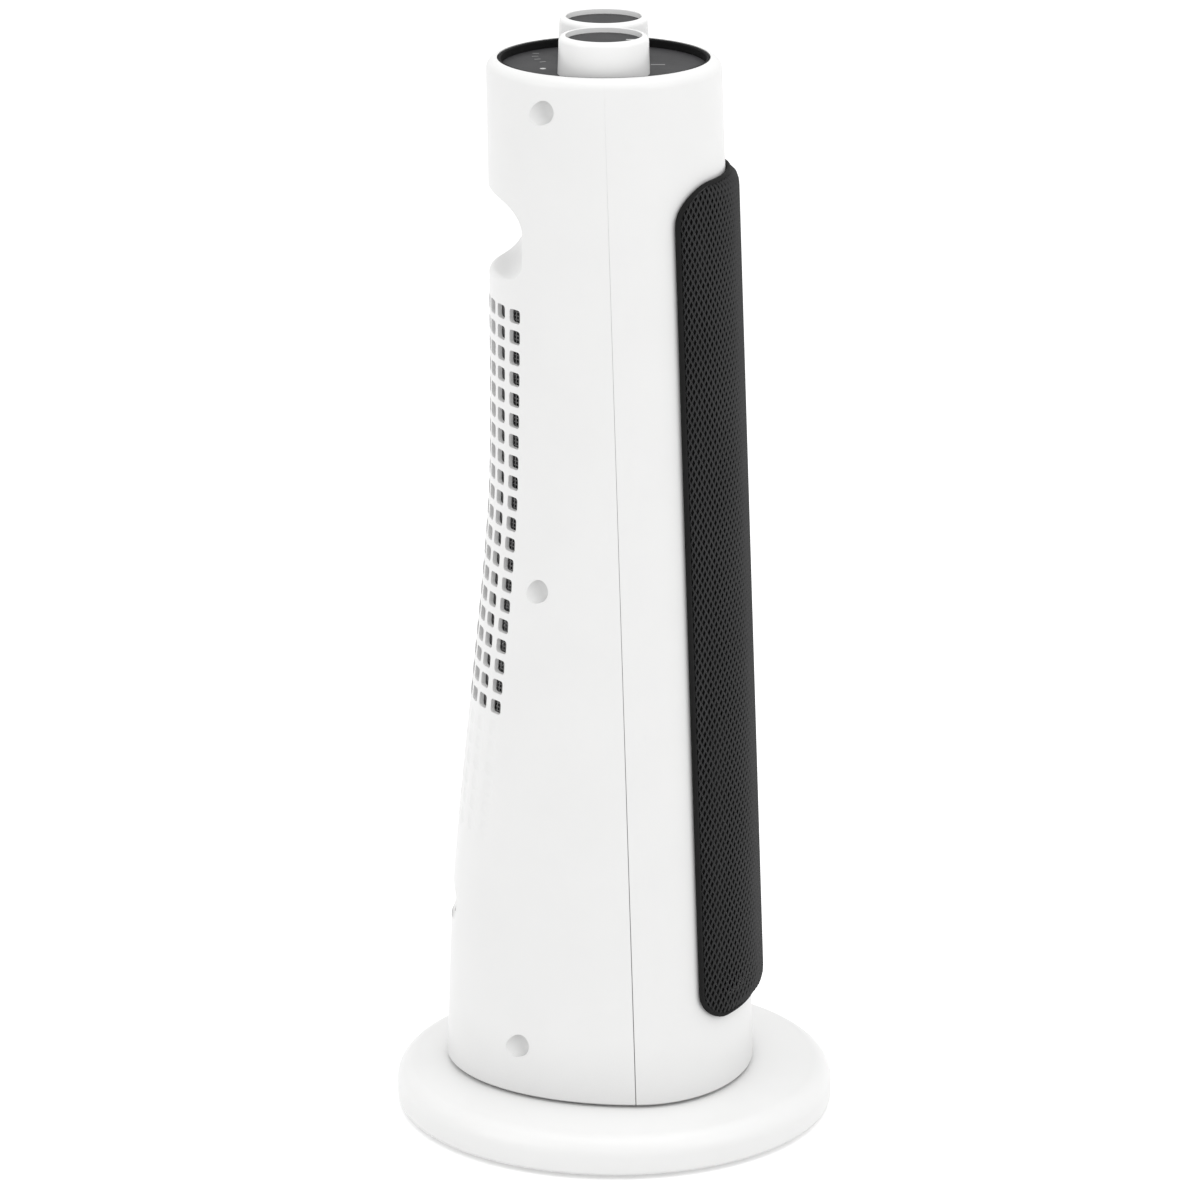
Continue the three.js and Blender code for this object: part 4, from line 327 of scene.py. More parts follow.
# The shells' white paints shade into their hollows, such as the grip, the cups and the seam.
WHITE_SHELL = Finish(
    "white_shell", (0.86, 0.86, 0.855), 0.34, pitch=0.0009, depth=0.000006, mottle=0.012, shade=0.42
)
FINISHES = (
    WHITE_SHELL,
    # The shells' white without its painted shade, for the walls inside the air holes.
    replace(WHITE_SHELL, name="hole_white", shade=0.0),
    replace(
        WHITE_SHELL, name="white_base", colour=(0.88, 0.88, 0.875), roughness=0.36, shade=0.0
    ),
    Finish("white_dial", (0.92, 0.92, 0.915), 0.26, depth=0.000004, mottle=0.01),
    Finish("inner_white", (0.72, 0.72, 0.7), 0.5, depth=0.00002),
    Finish(
        "head_grey",
        (0.05, 0.05, 0.052),
        0.6,
        pitch=0.0006,
        depth=0.00003,
        mottle=0.2,
        specular=0.18,
    ),
    Finish("cap_grey", (0.037, 0.037, 0.039), 0.55, pitch=0.0006, mottle=0.1, specular=0.15),
    Finish(
        "grille_black",
        (0.029, 0.029, 0.03),
        0.4,
        pitch=0.0015,
        depth=0.00002,
        mottle=0.2,
        specular=0.36,
    ),
    Finish("duct_black", (0.012, 0.012, 0.012), 0.75, depth=0.00003, mottle=0.2, specular=0.12),
    # A mid grey for the gauze behind the air holes, which paints the shade seen through them.
    Finish("gauze_painted_shade", (0.24, 0.24, 0.24), 0.6, depth=0.00002, mottle=0.2, specular=0.3),
    Finish("acetal", (0.6, 0.58, 0.5), 0.45),
    Finish("ceramic", (0.3, 0.27, 0.22), 0.8, depth=0.00003, mottle=0.1),
    Finish("rubber", (0.016, 0.016, 0.016), 0.85, depth=0.00003, mottle=0.2),
    Finish("zinc", (0.52, 0.53, 0.55), 0.34, 1.0, Relief.BRUSHED, 0.0004, 0.000006, 0.1),
    Finish("sheet_aluminium", (0.4, 0.41, 0.42), 0.4, 1.0, Relief.BRUSHED, 0.0004, 0.000006),
    Finish("core_sheets", (0.25, 0.25, 0.26), 0.5, 0.9, Relief.LAMINATED, 0.0005, 0.00005, 0.15),
    Finish("coil_wire", (0.4, 0.15, 0.05), 0.35, 0.8, Relief.WOUND, 0.0004, 0.00008, 0.15, 0.4),
    Finish("white_print", (0.62, 0.62, 0.62), 0.5, depth=0.000002),
    Finish("grey_print", (0.2, 0.2, 0.2), 0.5, depth=0.000002),
)


# Modelling helpers


class Act(Enum):
    """What a tool does to a piece."""

    CUT = "DIFFERENCE"
    JOIN = "UNION"
    LIMIT = "INTERSECT"


class Axis(Enum):
    """The axis that a turned piece is laid along."""

    ACROSS = "X"
    REARWARDS = "Y"


def deselect_all() -> None:
    """Leave nothing selected, so that an operator acts on the new piece alone."""
    if bpy.context.object and bpy.context.object.mode != "OBJECT":
        bpy.ops.object.mode_set(mode="OBJECT")
    bpy.ops.object.select_all(action="DESELECT")


def choose(piece: Piece) -> None:
    """Make a piece the only selected and active one.

    Args:
        piece: The piece.
    """
    deselect_all()
    piece.select_set(True)
    bpy.context.view_layer.objects.active = piece


@contextmanager
def editing(piece: Piece) -> Iterator[None]:
    """Stay in edit mode on a piece, with all of it selected at first.

    Args:
        piece: The piece.

    Yields:
        Nothing; the piece is edited meanwhile.
    """
    choose(piece)
    bpy.ops.object.mode_set(mode="EDIT")
    bpy.ops.mesh.select_all(action="SELECT")
    yield
    bpy.ops.object.mode_set(mode="OBJECT")


def select_edges(piece: Piece, wanted: Callable[[Edge], bool]) -> None:
    """Select some edges of the piece that is being edited.

    Args:
        piece: The piece.
        wanted: Tells whether an edge is selected.
    """
    bpy.ops.mesh.select_mode(type="EDGE")
    bpy.ops.mesh.select_all(action="DESELECT")
    for edge in bmesh.from_edit_mesh(piece.data).edges:
        edge.select_set(wanted(edge))
    bmesh.update_edit_mesh(piece.data)


def run_of(edge: Edge) -> Vector:
    """The way from one end of an edge to the other."""
    return edge.verts[0].co - edge.verts[1].co


def apply_modifier(piece: Piece, kind: str, **settings: object) -> None:
    """Add a modifier, set it and apply it.

    Args:
        piece: The piece to change.
        kind: The modifier's type.
        **settings: The modifier's properties.
    """
    choose(piece)
    modifier = piece.modifiers.new(kind.lower(), kind)
    for key, value in settings.items():
        setattr(modifier, key, value)
    bpy.ops.object.modifier_apply(modifier=modifier.name)


def boolean(piece: Piece, tool: Piece, act: Act, keep: bool = False) -> None:
    """Cut, join or limit a piece by a tool.

    Args:
        piece: The piece that is changed.
        tool: The tool.
        act: What the tool does.
        keep: Whether the tool stays.
    """
    apply_modifier(piece, "BOOLEAN", object=tool, operation=act.value, solver="MANIFOLD")
    if not keep:
        bpy.data.objects.remove(tool)


def leave_strands(sheet: Piece, strand: float) -> None:
    """Turn every edge of a sheet into a strand.

    Args:
        sheet: The sheet.
        strand: The strands' thickness.
    """
    apply_modifier(
        sheet,
        "WIREFRAME",
        thickness=strand,
        use_even_offset=False,
        use_replace=True,
        use_boundary=True,
    )


def copy_of(piece: Piece, name: str) -> Piece:
    """Copy a piece with a mesh of its own.

    Args:
        piece: The piece.
        name: The copy's name.

    Returns:
        The copy.
    """
    twin = piece.copy()
    twin.data = piece.data.copy()
    twin.name = name
    bpy.context.collection.objects.link(twin)
    return twin


def settle(piece: Piece) -> None:
    """Put a piece's place into its mesh, so that its object sits at the origin."""
    choose(piece)
    bpy.ops.object.transform_apply(location=True, rotation=True, scale=True)


def join(pieces: Sequence[Piece], name: str) -> Piece:
    """Join pieces into the first one.

    Args:
        pieces: One or more pieces.
        name: The name of the whole.

    Returns:
        The whole.
    """
    choose(pieces[0])
    for piece in pieces[1:]:
        piece.select_set(True)
    if len(pieces) > 1:
        bpy.ops.object.join()
    pieces[0].name = name
    return pieces[0]


def recalculate(piece: Piece) -> None:
    """Merge doubled corners and point all faces outwards.

    Args:
        piece: A closed piece.
    """
    with editing(piece):
        bpy.ops.mesh.remove_doubles(threshold=MERGE_DISTANCE)
        bpy.ops.mesh.normals_make_consistent(inside=False)


def finish_piece(
    piece: Piece,
    name: str,
    body: str,
    material: Material,
    replaces: Sequence[str] = (),
    sharp_degrees: float = 32.0,
) -> None:
    """Name, shade, dress and attach a finished piece.

    Args:
        piece: The modelled piece.
        name: Its name.
        body: The body that it rides on.
        material: Its material.
        replaces: The nodes that it stands for.
        sharp_degrees: Edges sharper than this stay crisp.
    """
    settle(piece)
    piece.name = name
    piece.data.name = name
    piece.data.materials.clear()
    piece.data.materials.append(material)
    choose(piece)
    bpy.ops.object.shade_smooth_by_angle(angle=math.radians(sharp_degrees))
    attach(piece, body)
    if replaces:
        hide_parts(*replaces)
    LOG.info("%s: %d faces on %s", name, len(piece.data.polygons), body)


def lofted(name: str, sides: int, rings: int, place: Callable[[int, int], Vector]) -> Piece:
    """Cut a cylinder into rings and shape it ring by ring.

    Args:
        name: The piece's name.
        sides: Corners in a ring.
        rings: Rings from the bottom to the top.
        place: Gives the place of corner i of ring k.

    Returns:
        A closed piece with flat ends.
    """
    depth = 1.0
    deselect_all()
    bpy.ops.mesh.primitive_cylinder_add(
        vertices=sides, radius=1, depth=depth, end_fill_type="NGON"
    )
    piece = bpy.context.object
    piece.name = name
    if rings > 2:
        with editing(piece):
            select_edges(piece, lambda edge: abs(run_of(edge).z) > depth / 2)
            bpy.ops.mesh.subdivide(number_cuts=rings - 2)
    for corner in piece.data.vertices:
        turn = math.atan2(corner.co.y, corner.co.x)
        i = round(turn / FULL * sides) % sides
        k = round((corner.co.z + depth / 2) * (rings - 1))
        corner.co = place(i, k)
    recalculate(piece)
    return piece


def turned(name: str, profile: Profile, sides: int, centre: Vector) -> Piece:
    """Draw a circle up and out along a profile, as on a lathe.

    Args:
        name: The piece's name.
        profile: Points of (radius, height) that start and end on the axis or meet again.
        sides: Corners round the axis.
        centre: The axis's place.

    Returns:
        A closed turned piece.
    """
    points = [(max(radius, AXIS_RADIUS), height) for radius, height in profile]
    radius, height = points[0]
    deselect_all()
    bpy.ops.mesh.primitive_circle_add(
        vertices=sides, radius=radius, location=(centre.x, centre.y, height)
    )
    piece = bpy.context.object
    piece.name = name
    with editing(piece):
        for (last_radius, last_height), (radius, height) in zip(points, points[1:]):
            rise = {"value": (0, 0, height - last_height)}
            bpy.ops.mesh.extrude_edges_move(TRANSFORM_OT_translate=rise)
            factor = radius / last_radius
            middle = (centre.x, centre.y, height)
            bpy.ops.transform.resize(value=(factor, factor, 1), center_override=middle)
    for corner in piece.data.vertices:
        if math.hypot(corner.co.x, corner.co.y) < AXIS_RADIUS * 2:
            corner.co.x = corner.co.y = 0
    recalculate(piece)
    return piece


def rod(name: str, radius: float, low: float, high: float, sides: int, centre: Vector) -> Piece:
    """Turn a plain upright rod.

    Args:
        name: The piece's name.
        radius: Its radius.
        low: Its lowest height.
        high: Its highest height.
        sides: Corners round the axis.
        centre: The axis's place.

    Returns:
        The rod.
    """
    return turned(name, [(0, low), (radius, low), (radius, high), (0, high)], sides, centre)


def ellipsoid(
    radii: Sequence[float],
    mesh_size: tuple[int, int],
    pole: Sequence[float],
    centre: Sequence[float] = (0, 0, 0),
) -> Piece:
    """Add a sphere, turn it and draw it out along the three axes.

    Args:
        radii: Its radii along X, Y and Z.
        mesh_size: Its segments and rings.
        pole: The turn that lays down its poles.
        centre: Its place.

    Returns:
        The round body.
    """
    deselect_all()
    segments, rings = mesh_size
    bpy.ops.mesh.primitive_uv_sphere_add(segments=segments, ring_count=rings, rotation=pole)
    piece = bpy.context.object
    settle(piece)
    piece.scale = radii
    piece.location = centre
    settle(piece)
    return piece


def box_between(name: str, low: Sequence[float], high: Sequence[float]) -> Piece:
    """Add a block between two corners.

    Args:
        name: The piece's name.
        low: Its lowest corner.
        high: Its highest corner.

    Returns:
        The block.
    """
    deselect_all()
    middle = [(a + b) / 2 for a, b in zip(low, high)]
    size = [b - a for a, b in zip(low, high)]
    bpy.ops.mesh.primitive_cube_add(size=1, location=middle, scale=size)
    piece = bpy.context.object
    piece.name = name
    settle(piece)
    return piece


def lay_along(piece: Piece, axis: Axis, side: int, centre: Vector) -> None:
    """Lay a piece turned about Z along another axis and move it to its place.

    Args:
        piece: A piece modelled about the Z axis at the origin.
        axis: The other axis.
        side: 1 or -1, the way that its +Z then points.
        centre: Its place.
    """
    settle(piece)
    for corner in piece.data.vertices:
        x, y, z = corner.co
        laid = (z * side, y, -x * side) if axis is Axis.ACROSS else (-x * side, z * side, y)
        corner.co = Vector(laid) + centre
    if axis is Axis.REARWARDS:
        recalculate(piece)


def arc(centre: Point, radius: float, start: float, stop: float, steps: int) -> list[Point]:
    """Give points along an arc, from one angle to another.

    Args:
        centre: The arc's centre.
        radius: Its radius.
        start: The angle of its first point.
        stop: The angle of its last point.
        steps: How many chords make the arc.

    Returns:
        The points.
    """
    x, y = centre
    angles = [start + (stop - start) * i / steps for i in range(steps + 1)]
    return [(x + math.cos(angle) * radius, y + math.sin(angle) * radius) for angle in angles]


def rounded_edge(radius: float, high: float, edge: float, steps: int) -> list[Point]:
    """Give the rounded upper edge of a turned section, from its side to its top.

    Args:
        radius: The section's radius.
        high: The height of its top.
        edge: The radius of the round.
        steps: How many chords make the round.

    Returns:
        The points.
    """
    side = (radius, high - edge)
    return [side, *arc((radius - edge, high - edge), edge, 0, QUARTER, steps)[1:]]


# The tower's skin


@dataclass(frozen=True)
class TowerSkin:
    """The tower's skin: at each height a half-ellipse in front of the seam and one behind it.

    Attributes:
        bottom: The height of its lower edge.
        height: Its height.
        head_radius: The radius of its round top.
        head_shift: How far the top's middle lies behind the swing axis.
        foot_half_width: Half the width at the bottom.
        foot_front: The reach forwards at the bottom.
        foot_rear: The reach backwards at the bottom.
        seam_foot_shift: The seam's place at the bottom.
        wall: The shells' thickness.
        rim_round: The round of the top edge.
        rear_swell: Height shares, with the share of the way from the head's reach to the foot's.
    """

    bottom: float = 0.0211
    height: float = 0.4179
    head_radius: float = 0.0464
    head_shift: float = 0.0045
    foot_half_width: float = 0.0625
    foot_front: float = 0.0575
    foot_rear: float = 0.0692
    seam_foot_shift: float = -0.0086
    wall: float = 0.0024
    rim_round: float = 0.0044
    rear_swell: tuple[Point, ...] = (
        (0, 1),
        (0.115, 0.913),
        (0.177, 0.842),
        (0.251, 0.7),
        (0.394, 0.37),
        (0.536, 0.055),
        (0.617, -0.038),
        (0.871, -0.038),
        (1, 0),
    )

    @property
    def top(self) -> float:
        """The height of the rim."""
        return self.bottom + self.height

    def share(self, z: float) -> float:
        """The share of the tower's height that lies below z."""
        return min(max((z - self.bottom) / self.height, 0), 1)

    def seam(self, z: float) -> float:
        """The seam's Y at a height."""
        return self.seam_foot_shift + (self.head_shift - self.seam_foot_shift) * self.share(z)

    def half_width(self, z: float) -> float:
        """Half the tower's width at a height."""
        return self.foot_half_width + (self.head_radius - self.foot_half_width) * self.share(z)

    def front(self, z: float) -> float:
        """The front's Y at a height."""
        head = self.head_radius - self.head_shift
        return -(self.foot_front + (head - self.foot_front) * self.share(z))

    def rear(self, z: float) -> float:
        """The rear's Y at a height, smooth through the swell's points.

        Args:
            z: The height.

        Returns:
            The rear's Y.
        """
        share = self.share(z)
        table = self.rear_swell
        passed = sum(1 for start, _ in table if start <= share)
        i = min(max(passed - 1, 0), len(table) - 2)
        (x0, y0), (x1, y1) = table[i], table[i + 1]
        t = (share - x0) / (x1 - x0)
        slopes = [self._slope(k) * (x1 - x0) for k in (i, i + 1)]
        swell = (
            y0 * (1 + 2 * t) * (1 - t) ** 2
            + y1 * t * t * (3 - 2 * t)
            + slopes[0] * t * (1 - t) ** 2
            - slopes[1] * t * t * (1 - t)
        )
        head = self.head_radius + self.head_shift
        return head + (self.foot_rear - head) * swell

    def _slope(self, i: int) -> float:
        """The swell's slope at one of its points.

        Args:
            i: The point's number.

        Returns:
            The slope.
        """
        table = self.rear_swell
        before, after = table[max(i - 1, 0)], table[min(i + 1, len(table) - 1)]
        return (after[1] - before[1]) / (after[0] - before[0])

    def point(self, turn: float, z: float, proud: float = 0.0) -> Vector:
        """A point of the skin.

        Args:
            turn: The way round, from the +X side over the rear.
            z: The height.
            proud: How far outside the skin.

        Returns:
            The point.
        """
        seam = self.seam(z)
        depth = self.rear(z) - seam if math.sin(turn) >= 0 else seam - self.front(z)
        x = math.cos(turn) * (self.half_width(z) + proud)
        return Vector((x, seam + math.sin(turn) * (depth + proud), z))

    def rear_at(self, x: float, z: float) -> float:
        """The rear surface's Y at a place across and a height."""
        across = min(abs(x) / self.half_width(z), 1)
        return self.seam(z) + math.sqrt(1 - across * across) * (self.rear(z) - self.seam(z))

    def rear_facing(self, x: float, z: float) -> float:
        """The way that the rear surface faces, from +X round to +Y.

        Args:
            x: The place across.
            z: The height.

        Returns:
            The angle of its normal.
        """
        turn = math.acos(min(max(x / self.half_width(z), -1), 1))
        depth = self.rear(z) - self.seam(z)
        return math.atan2(math.sin(turn) / depth, math.cos(turn) / self.half_width(z))

    def solid(
        self, name: str, inset: float, low: float, high: float, sides: int, rings: int
    ) -> Piece:
        """Make the body inside the skin, or inside a skin moved in.

        Args:
            name: The piece's name.
            inset: How far the skin is moved in.
            low: Its lowest height.
            high: Its highest height.
            sides: Corners in a ring.
            rings: Rings over its height.

        Returns:
            The closed body.
        """
        stations = [(low + (high - low) * k / (rings - 1), -inset) for k in range(rings)]
        return self.stacked(name, stations, sides)

    def stacked(self, name: str, stations: Sequence[Point], sides: int) -> Piece:
        """Make a body through rings of the skin.

        Args:
            name: The piece's name.
            stations: Each ring's height and how far it is moved out.
            sides: Corners in a ring.

        Returns:
            The closed body.
        """

        def place(i: int, k: int) -> Vector:
            """Give corner i of ring k."""
            z, proud = stations[k]
            return self.point(i / sides * FULL, z, proud)

        return lofted(name, sides, len(stations), place)


# Shells


@dataclass
class Shells:
    """The two shells of the tower, with the grip, the air holes and the seats that they carry.

    Attributes:
        overrun: How far a tool reaches past what it cuts.
        seam_gap: The seam's mean width.
        seam_opening: How much wider the seam is at the foot than at the head.
        lip_reach: How far the inner lip reaches to both sides of the seam.
        lip_shares: How deep in the wall the lip's two faces lie, as shares of its thickness.
        grip_back: The Y of the grip's back wall.
        grip_least_lip: The least radius of the lip of the grown grip, as a share of the grip's own.
        grip_overcut: How far the grip's tool stands out of the skin where its lip starts.
        grip_passes: How often the lip's height is worked out anew.
        vent_wall: The shell's thickness round the air holes.
        vent_wall_facing: How far a face may turn to the skin's normal and be a hole's wall.
        vent_top: The height of the uppermost air holes.
        cup_edge: The bevel round a cup's floor, as a share of its radius.
        scoop_round: The radii of the screws' soft recesses.
        scoop_run: How far a recess runs out rearwards.
        scoop_shift: Its shift from the screw outwards, rearwards and up.
        scoop_fall: How far it falls towards the rear, as an angle.
        screw_shares: The screws' heights, as shares of the tower's, and their turns in degrees.
        groove_reach: How far the groove at the gland reaches to both sides.
    """

    skin: TowerSkin
    sides: int = 168
    rings: int = 70
    rim_steps: int = 8
    tool_sides: int = 96
    tool_rings: int = 40
    overrun: float = 0.02
    foot_edge_round: float = 0.0006
    panel_opening: float = 0.042
    panel_seat_height: float = 0.4331
    ledge_width: float = 0.0035
    ledge_thick: float = 0.002
    seam_gap: float = 0.00018
    seam_opening: float = 0.00034
    lip_reach: float = 0.002
    lip_shares: tuple[float, float] = (0.42, 0.9)
    grip_floor: float = 0.3553
    grip_ceiling: float = 0.3866
    grip_back: float = 0.0364
    grip_ceiling_round: float = 0.012
    grip_floor_round: float = 0.008
    grip_lip: float = 0.0026
    grip_least_lip: float = 0.125
    grip_overcut: float = 0.00002
    grip_stations: int = 140
    grip_passes: int = 3
    grip_bend_steps: int = 8
    grip_lip_steps: int = 5
    vent_width: float = 0.0068
    vent_wall: float = 0.0019
    vent_height: float = 0.0056
    vent_corner: float = 0.0013
    vent_corner_steps: int = 3
    vent_columns: int = 8
    vent_rows: int = 20
    vent_column_pitch: float = 0.0089
    vent_row_pitch: float = 0.00848
    vent_top: float = 0.3417
    vent_wall_facing: float = 0.5
    pocket_rings: int = 30
    dimple_rows: int = 6
    dimple_depth: float = 0.00042
    dimple_round: float = 0.0045
    dimple_bulge: float = 0.0012
    dimple_mesh: tuple[int, int] = (24, 24)
    cup_radius: float = 0.0048
    cup_depth: float = 0.005
    cup_wall: float = 0.0016
    cup_edge: float = 0.125
    cup_sides: int = 40
    scoop_round: tuple[float, float, float] = (0.0038, 0.0047, 0.0046)
    scoop_run: float = 0.014
    scoop_shift: tuple[float, float, float] = (0.0003, -0.0006, 0.0004)
    scoop_fall: float = math.radians(20)
    scoop_mesh: tuple[int, int] = (48, 32)
    screw_shares: tuple[Point, ...] = ((0.049, 38), (0.506, 36.5), (0.966, 31.4))
    gland_height: float = 0.0891
    gland_recess: float = 0.007
    gland_recess_depth: float = 0.0029
    gland_stem: float = 0.0055
    gland_sides: int = 48
    groove_reach: float = 0.03
    groove_depth: float = 0.0021
    groove_round: float = 0.0078
    groove_mesh: tuple[int, int] = (96, 64)
    window_ledge: float = 0.005
    window_corner: float = 0.01

    @property
    def ledge_low(self) -> float:
        """The underside of the panel's ledge."""
        return self.panel_seat_height - self.ledge_thick

    @property
    def gland_place(self) -> Vector:
        """The point of the skin in the middle of the cord gland."""
        return Vector((0, self.skin.rear(self.gland_height), self.gland_height))

    @property
    def vent_field(self) -> tuple[float, float, float]:
        """The field of the air holes.

        Returns:
            Half its width, its lowest height and its highest.
        """
        high = self.vent_top + self.vent_row_pitch / 2
        low = high - self.vent_rows * self.vent_row_pitch
        return self.vent_columns * self.vent_column_pitch / 2, low, high

    def build(self, material: Material, lining: Material, outline: "GrilleOutline") -> None:
        """Model both shells and put them on the tower.

        Args:
            material: The shells' finish.
            lining: The shells' white without its painted shade, for the walls inside the air holes.
            outline: The grille's outline, which the window follows.
        """
        front = self._hollow()
        lip = self._lip()
        rear = copy_of(front, "rear_shell_smooth")
        boolean(front, self._half(-1), Act.LIMIT)
        boolean(rear, self._half(1), Act.LIMIT)
        boolean(front, lip, Act.JOIN, keep=True)
        boolean(front, outline.prism(self.window_ledge, self.window_corner), Act.CUT)
        boolean(rear, lip, Act.CUT)
        self._model_rear(rear)
        for shell, name in ((front, "front_shell"), (rear, "rear_shell")):
            finish_piece(shell, f"{name}_smooth", "tower", material, [name])
        self._unshade_holes(rear, lining)

    def _inner(self, name: str, inset: float, low: float, high: float) -> Piece:
        """Make a body inside the skin that serves as a tool.

        Args:
            name: The tool's name.
            inset: How far the skin is moved in.
            low: Its lowest height.
            high: Its highest height.

        Returns:
            The tool.
        """
        return self.skin.solid(name, inset, low, high, self.tool_sides, self.tool_rings)

    def _hollow(self) -> Piece:
        """Make both shells in one, hollow, with the grip's lining and the panel's seat.

        Returns:
            The body that the seam then parts.
        """
        skin = self.skin
        rim_low = skin.top - skin.rim_round
        foot_high = skin.bottom + self.foot_edge_round
        rise = rim_low - foot_high
        stations = [(skin.bottom, -self.foot_edge_round), (foot_high, 0)]
        stations += [(foot_high + rise * k / self.rings, 0) for k in range(1, self.rings + 1)]
        rim = arc((-skin.rim_round, rim_low), skin.rim_round, 0, QUARTER, self.rim_steps)
        stations += [(height, radial) for radial, height in rim[1:]]
        whole = skin.stacked("front_shell_smooth", stations, self.sides)
        cavity = self._inner("cavity", skin.wall, skin.bottom - self.overrun, self.ledge_low)
        boolean(cavity, self._grip_tool(skin.wall), Act.CUT)
        for tool in (cavity, self._panel_seat(), self._grip_tool(0)):
            boolean(whole, tool, Act.CUT)
        return whole

    def _panel_seat(self) -> Piece:
        """Make the tool for the opening in the head and the ledge that carries the panel.

        Returns:
            The tool.
        """
        low, high = self.ledge_low - self.ledge_thick, self.skin.top + self.overrun
        opening = self.panel_opening - self.ledge_width
        profile = [
            (0, low),
            (opening, low),
            (opening, self.panel_seat_height),
            (self.panel_opening, self.panel_seat_height),
            (self.panel_opening, high),
            (0, high),
        ]
        return turned("seat", profile, self.sides, Vector((0, self.skin.head_shift, 0)))

    def _seam_block(self, name: str, reach: float, near: float, far: float, tilt: float) -> Piece:
        """Make a block that lies along the sloping seam.

        Args:
            name: The block's name.
            reach: Its reach to both sides.
            near: How far behind the seam it starts.
            far: How far behind the seam it ends.
            tilt: How far it is turned from the seam.

        Returns:
            The block.
        """
        skin = self.skin
        middle = skin.bottom + skin.height / 2
        slope = math.atan2(skin.head_shift - skin.seam_foot_shift, skin.height)
        block = box_between(name, (-reach, near, -skin.height), (reach, far, skin.height))
        block.rotation_euler = (tilt - slope, 0, 0)
        block.location = (0, skin.seam(middle), middle)
        settle(block)
        return block

    def _half(self, side: int) -> Piece:
        """Make a block that covers what lies on one side of the seam.

        Args:
            side: -1 for the front, 1 for the rear.

        Returns:
            The block.
        """
        reach = self.skin.foot_rear * 2
        near, far = sorted((side * self.seam_gap / 2, side * reach))
        tilt = side * self.seam_opening / 2 / self.skin.height
        return self._seam_block("half", reach, near, far, tilt)

    def _lip(self) -> Piece:
        """Make the thin inner lip that bridges the seam.

        Returns:
            The lip.
        """
        skin = self.skin
        low, high = skin.bottom + skin.wall, self.ledge_low - skin.wall
        outer, inner = (skin.wall * share for share in self.lip_shares)
        lip = self._inner("lip", outer, low, high)
        core = self._inner("inner", inner, low - self.overrun, high + self.overrun)
        boolean(lip, core, Act.CUT)
        reach = skin.foot_half_width * 2
        band = self._seam_block("band", reach, -self.lip_reach, self.lip_reach, 0)
        boolean(lip, band, Act.LIMIT)
        return lip

    def _grip_tool(self, grow: float) -> Piece:
        """Make the grip recess as a tool, or the recess grown by the wall that lines it.

        Args:
            grow: How far the recess is grown.

        Returns:
            The tool.
        """
        reach = self.skin.foot_half_width
        ceiling, floor = self.grip_ceiling_round, self.grip_floor_round
        sections = []
        for k in range(self.grip_stations):
            x = -reach + reach * 2 * k / (self.grip_stations - 1)
            high_bend, high_lip = self._grip_bend(x, grow, 1, self.grip_ceiling, ceiling)
            low_bend, low_lip = self._grip_bend(x, grow, -1, self.grip_floor, floor)
            outer = [(y + self.overrun, z) for y, z in (low_lip[0], high_lip[0])]
            outline = [*high_bend, *low_bend[::-1], *low_lip[::-1], *outer, *high_lip]
            sections.append([Vector((x, y, z)) for y, z in outline])
        return lofted("grip", len(sections[0]), len(sections), lambda i, k: sections[k][i])

    def _grip_bend(
        self, x: float, grow: float, way: int, level: float, bend: float
    ) -> tuple[Profile, Profile]:
        """Round the grip inside and at its mouth, where a soft lip runs over into the skin.

        Args:
            x: The place across.
            grow: How far the recess is grown.
            way: 1 at the ceiling, -1 at the floor.
            level: The height of the ceiling or the floor.
            bend: The radius of the bend inside.

        Returns:
            The bend, from the mouth inwards, and the lip, from the skin inwards.
        """
        lip = max(self.grip_lip - grow, self.grip_lip * self.grip_least_lip)
        bend, level, back = bend + grow, level + way * grow, self.grip_back - grow
        centre = (back + bend, level - way * bend)
        height = level + way * lip
        for _ in range(self.grip_passes):
            rear = max(self.skin.rear_at(x, height) - grow, back) + self.grip_overcut
            aside = max(centre[0] + lip - rear, 0)
            height = centre[1] + way * math.sqrt((bend + lip) ** 2 - aside**2)
        turn = math.asin(aside / (bend + lip))
        inner = arc(centre, bend, way * (QUARTER + turn), way * math.pi, self.grip_bend_steps)
        mouth = arc((rear - lip, height), lip, 0, way * (turn - QUARTER), self.grip_lip_steps)
        return inner, mouth

    def screw_places(self) -> list[tuple[int, Vector]]:
        """Give the places of the shell screws, from their height shares and their turns in degrees.

        Returns:
            Each screw's side and the point of the skin over it.
        """
        places = []
        for share, turn in self.screw_shares:
            z = self.skin.bottom + share * self.skin.height
            point = self.skin.point(math.radians(turn), z)
            places += [(side, Vector((point.x * side, point.y, z))) for side in (-1, 1)]
        return places

    def _model_rear(self, rear: Piece) -> None:
        """Give the rear shell its bosses, cups, gland seat, air holes and dimples.

        Args:
            rear: The rear half of the hollow body.
        """
        skin = self.skin
        backing = self._inner("backing", skin.wall / 2, skin.bottom, skin.top - skin.rim_round)
        walls = (self._seats("bosses", self.cup_wall, skin.wall), self._gland_groove(self.cup_wall))
        for wall in walls:
            boolean(wall, backing, Act.LIMIT, keep=True)
            boolean(rear, wall, Act.JOIN)
        bpy.data.objects.remove(backing)
        hollows = (
            self._seats("cups", 0, 0),
            self.scoops(),
            self._gland_groove(0),
            self._gland_tool(self.gland_stem, self.overrun),
            self._pocket(),
            self._vents(),
            self._dimples(),
        )
        for hollow in hollows:
            boolean(rear, hollow, Act.CUT)

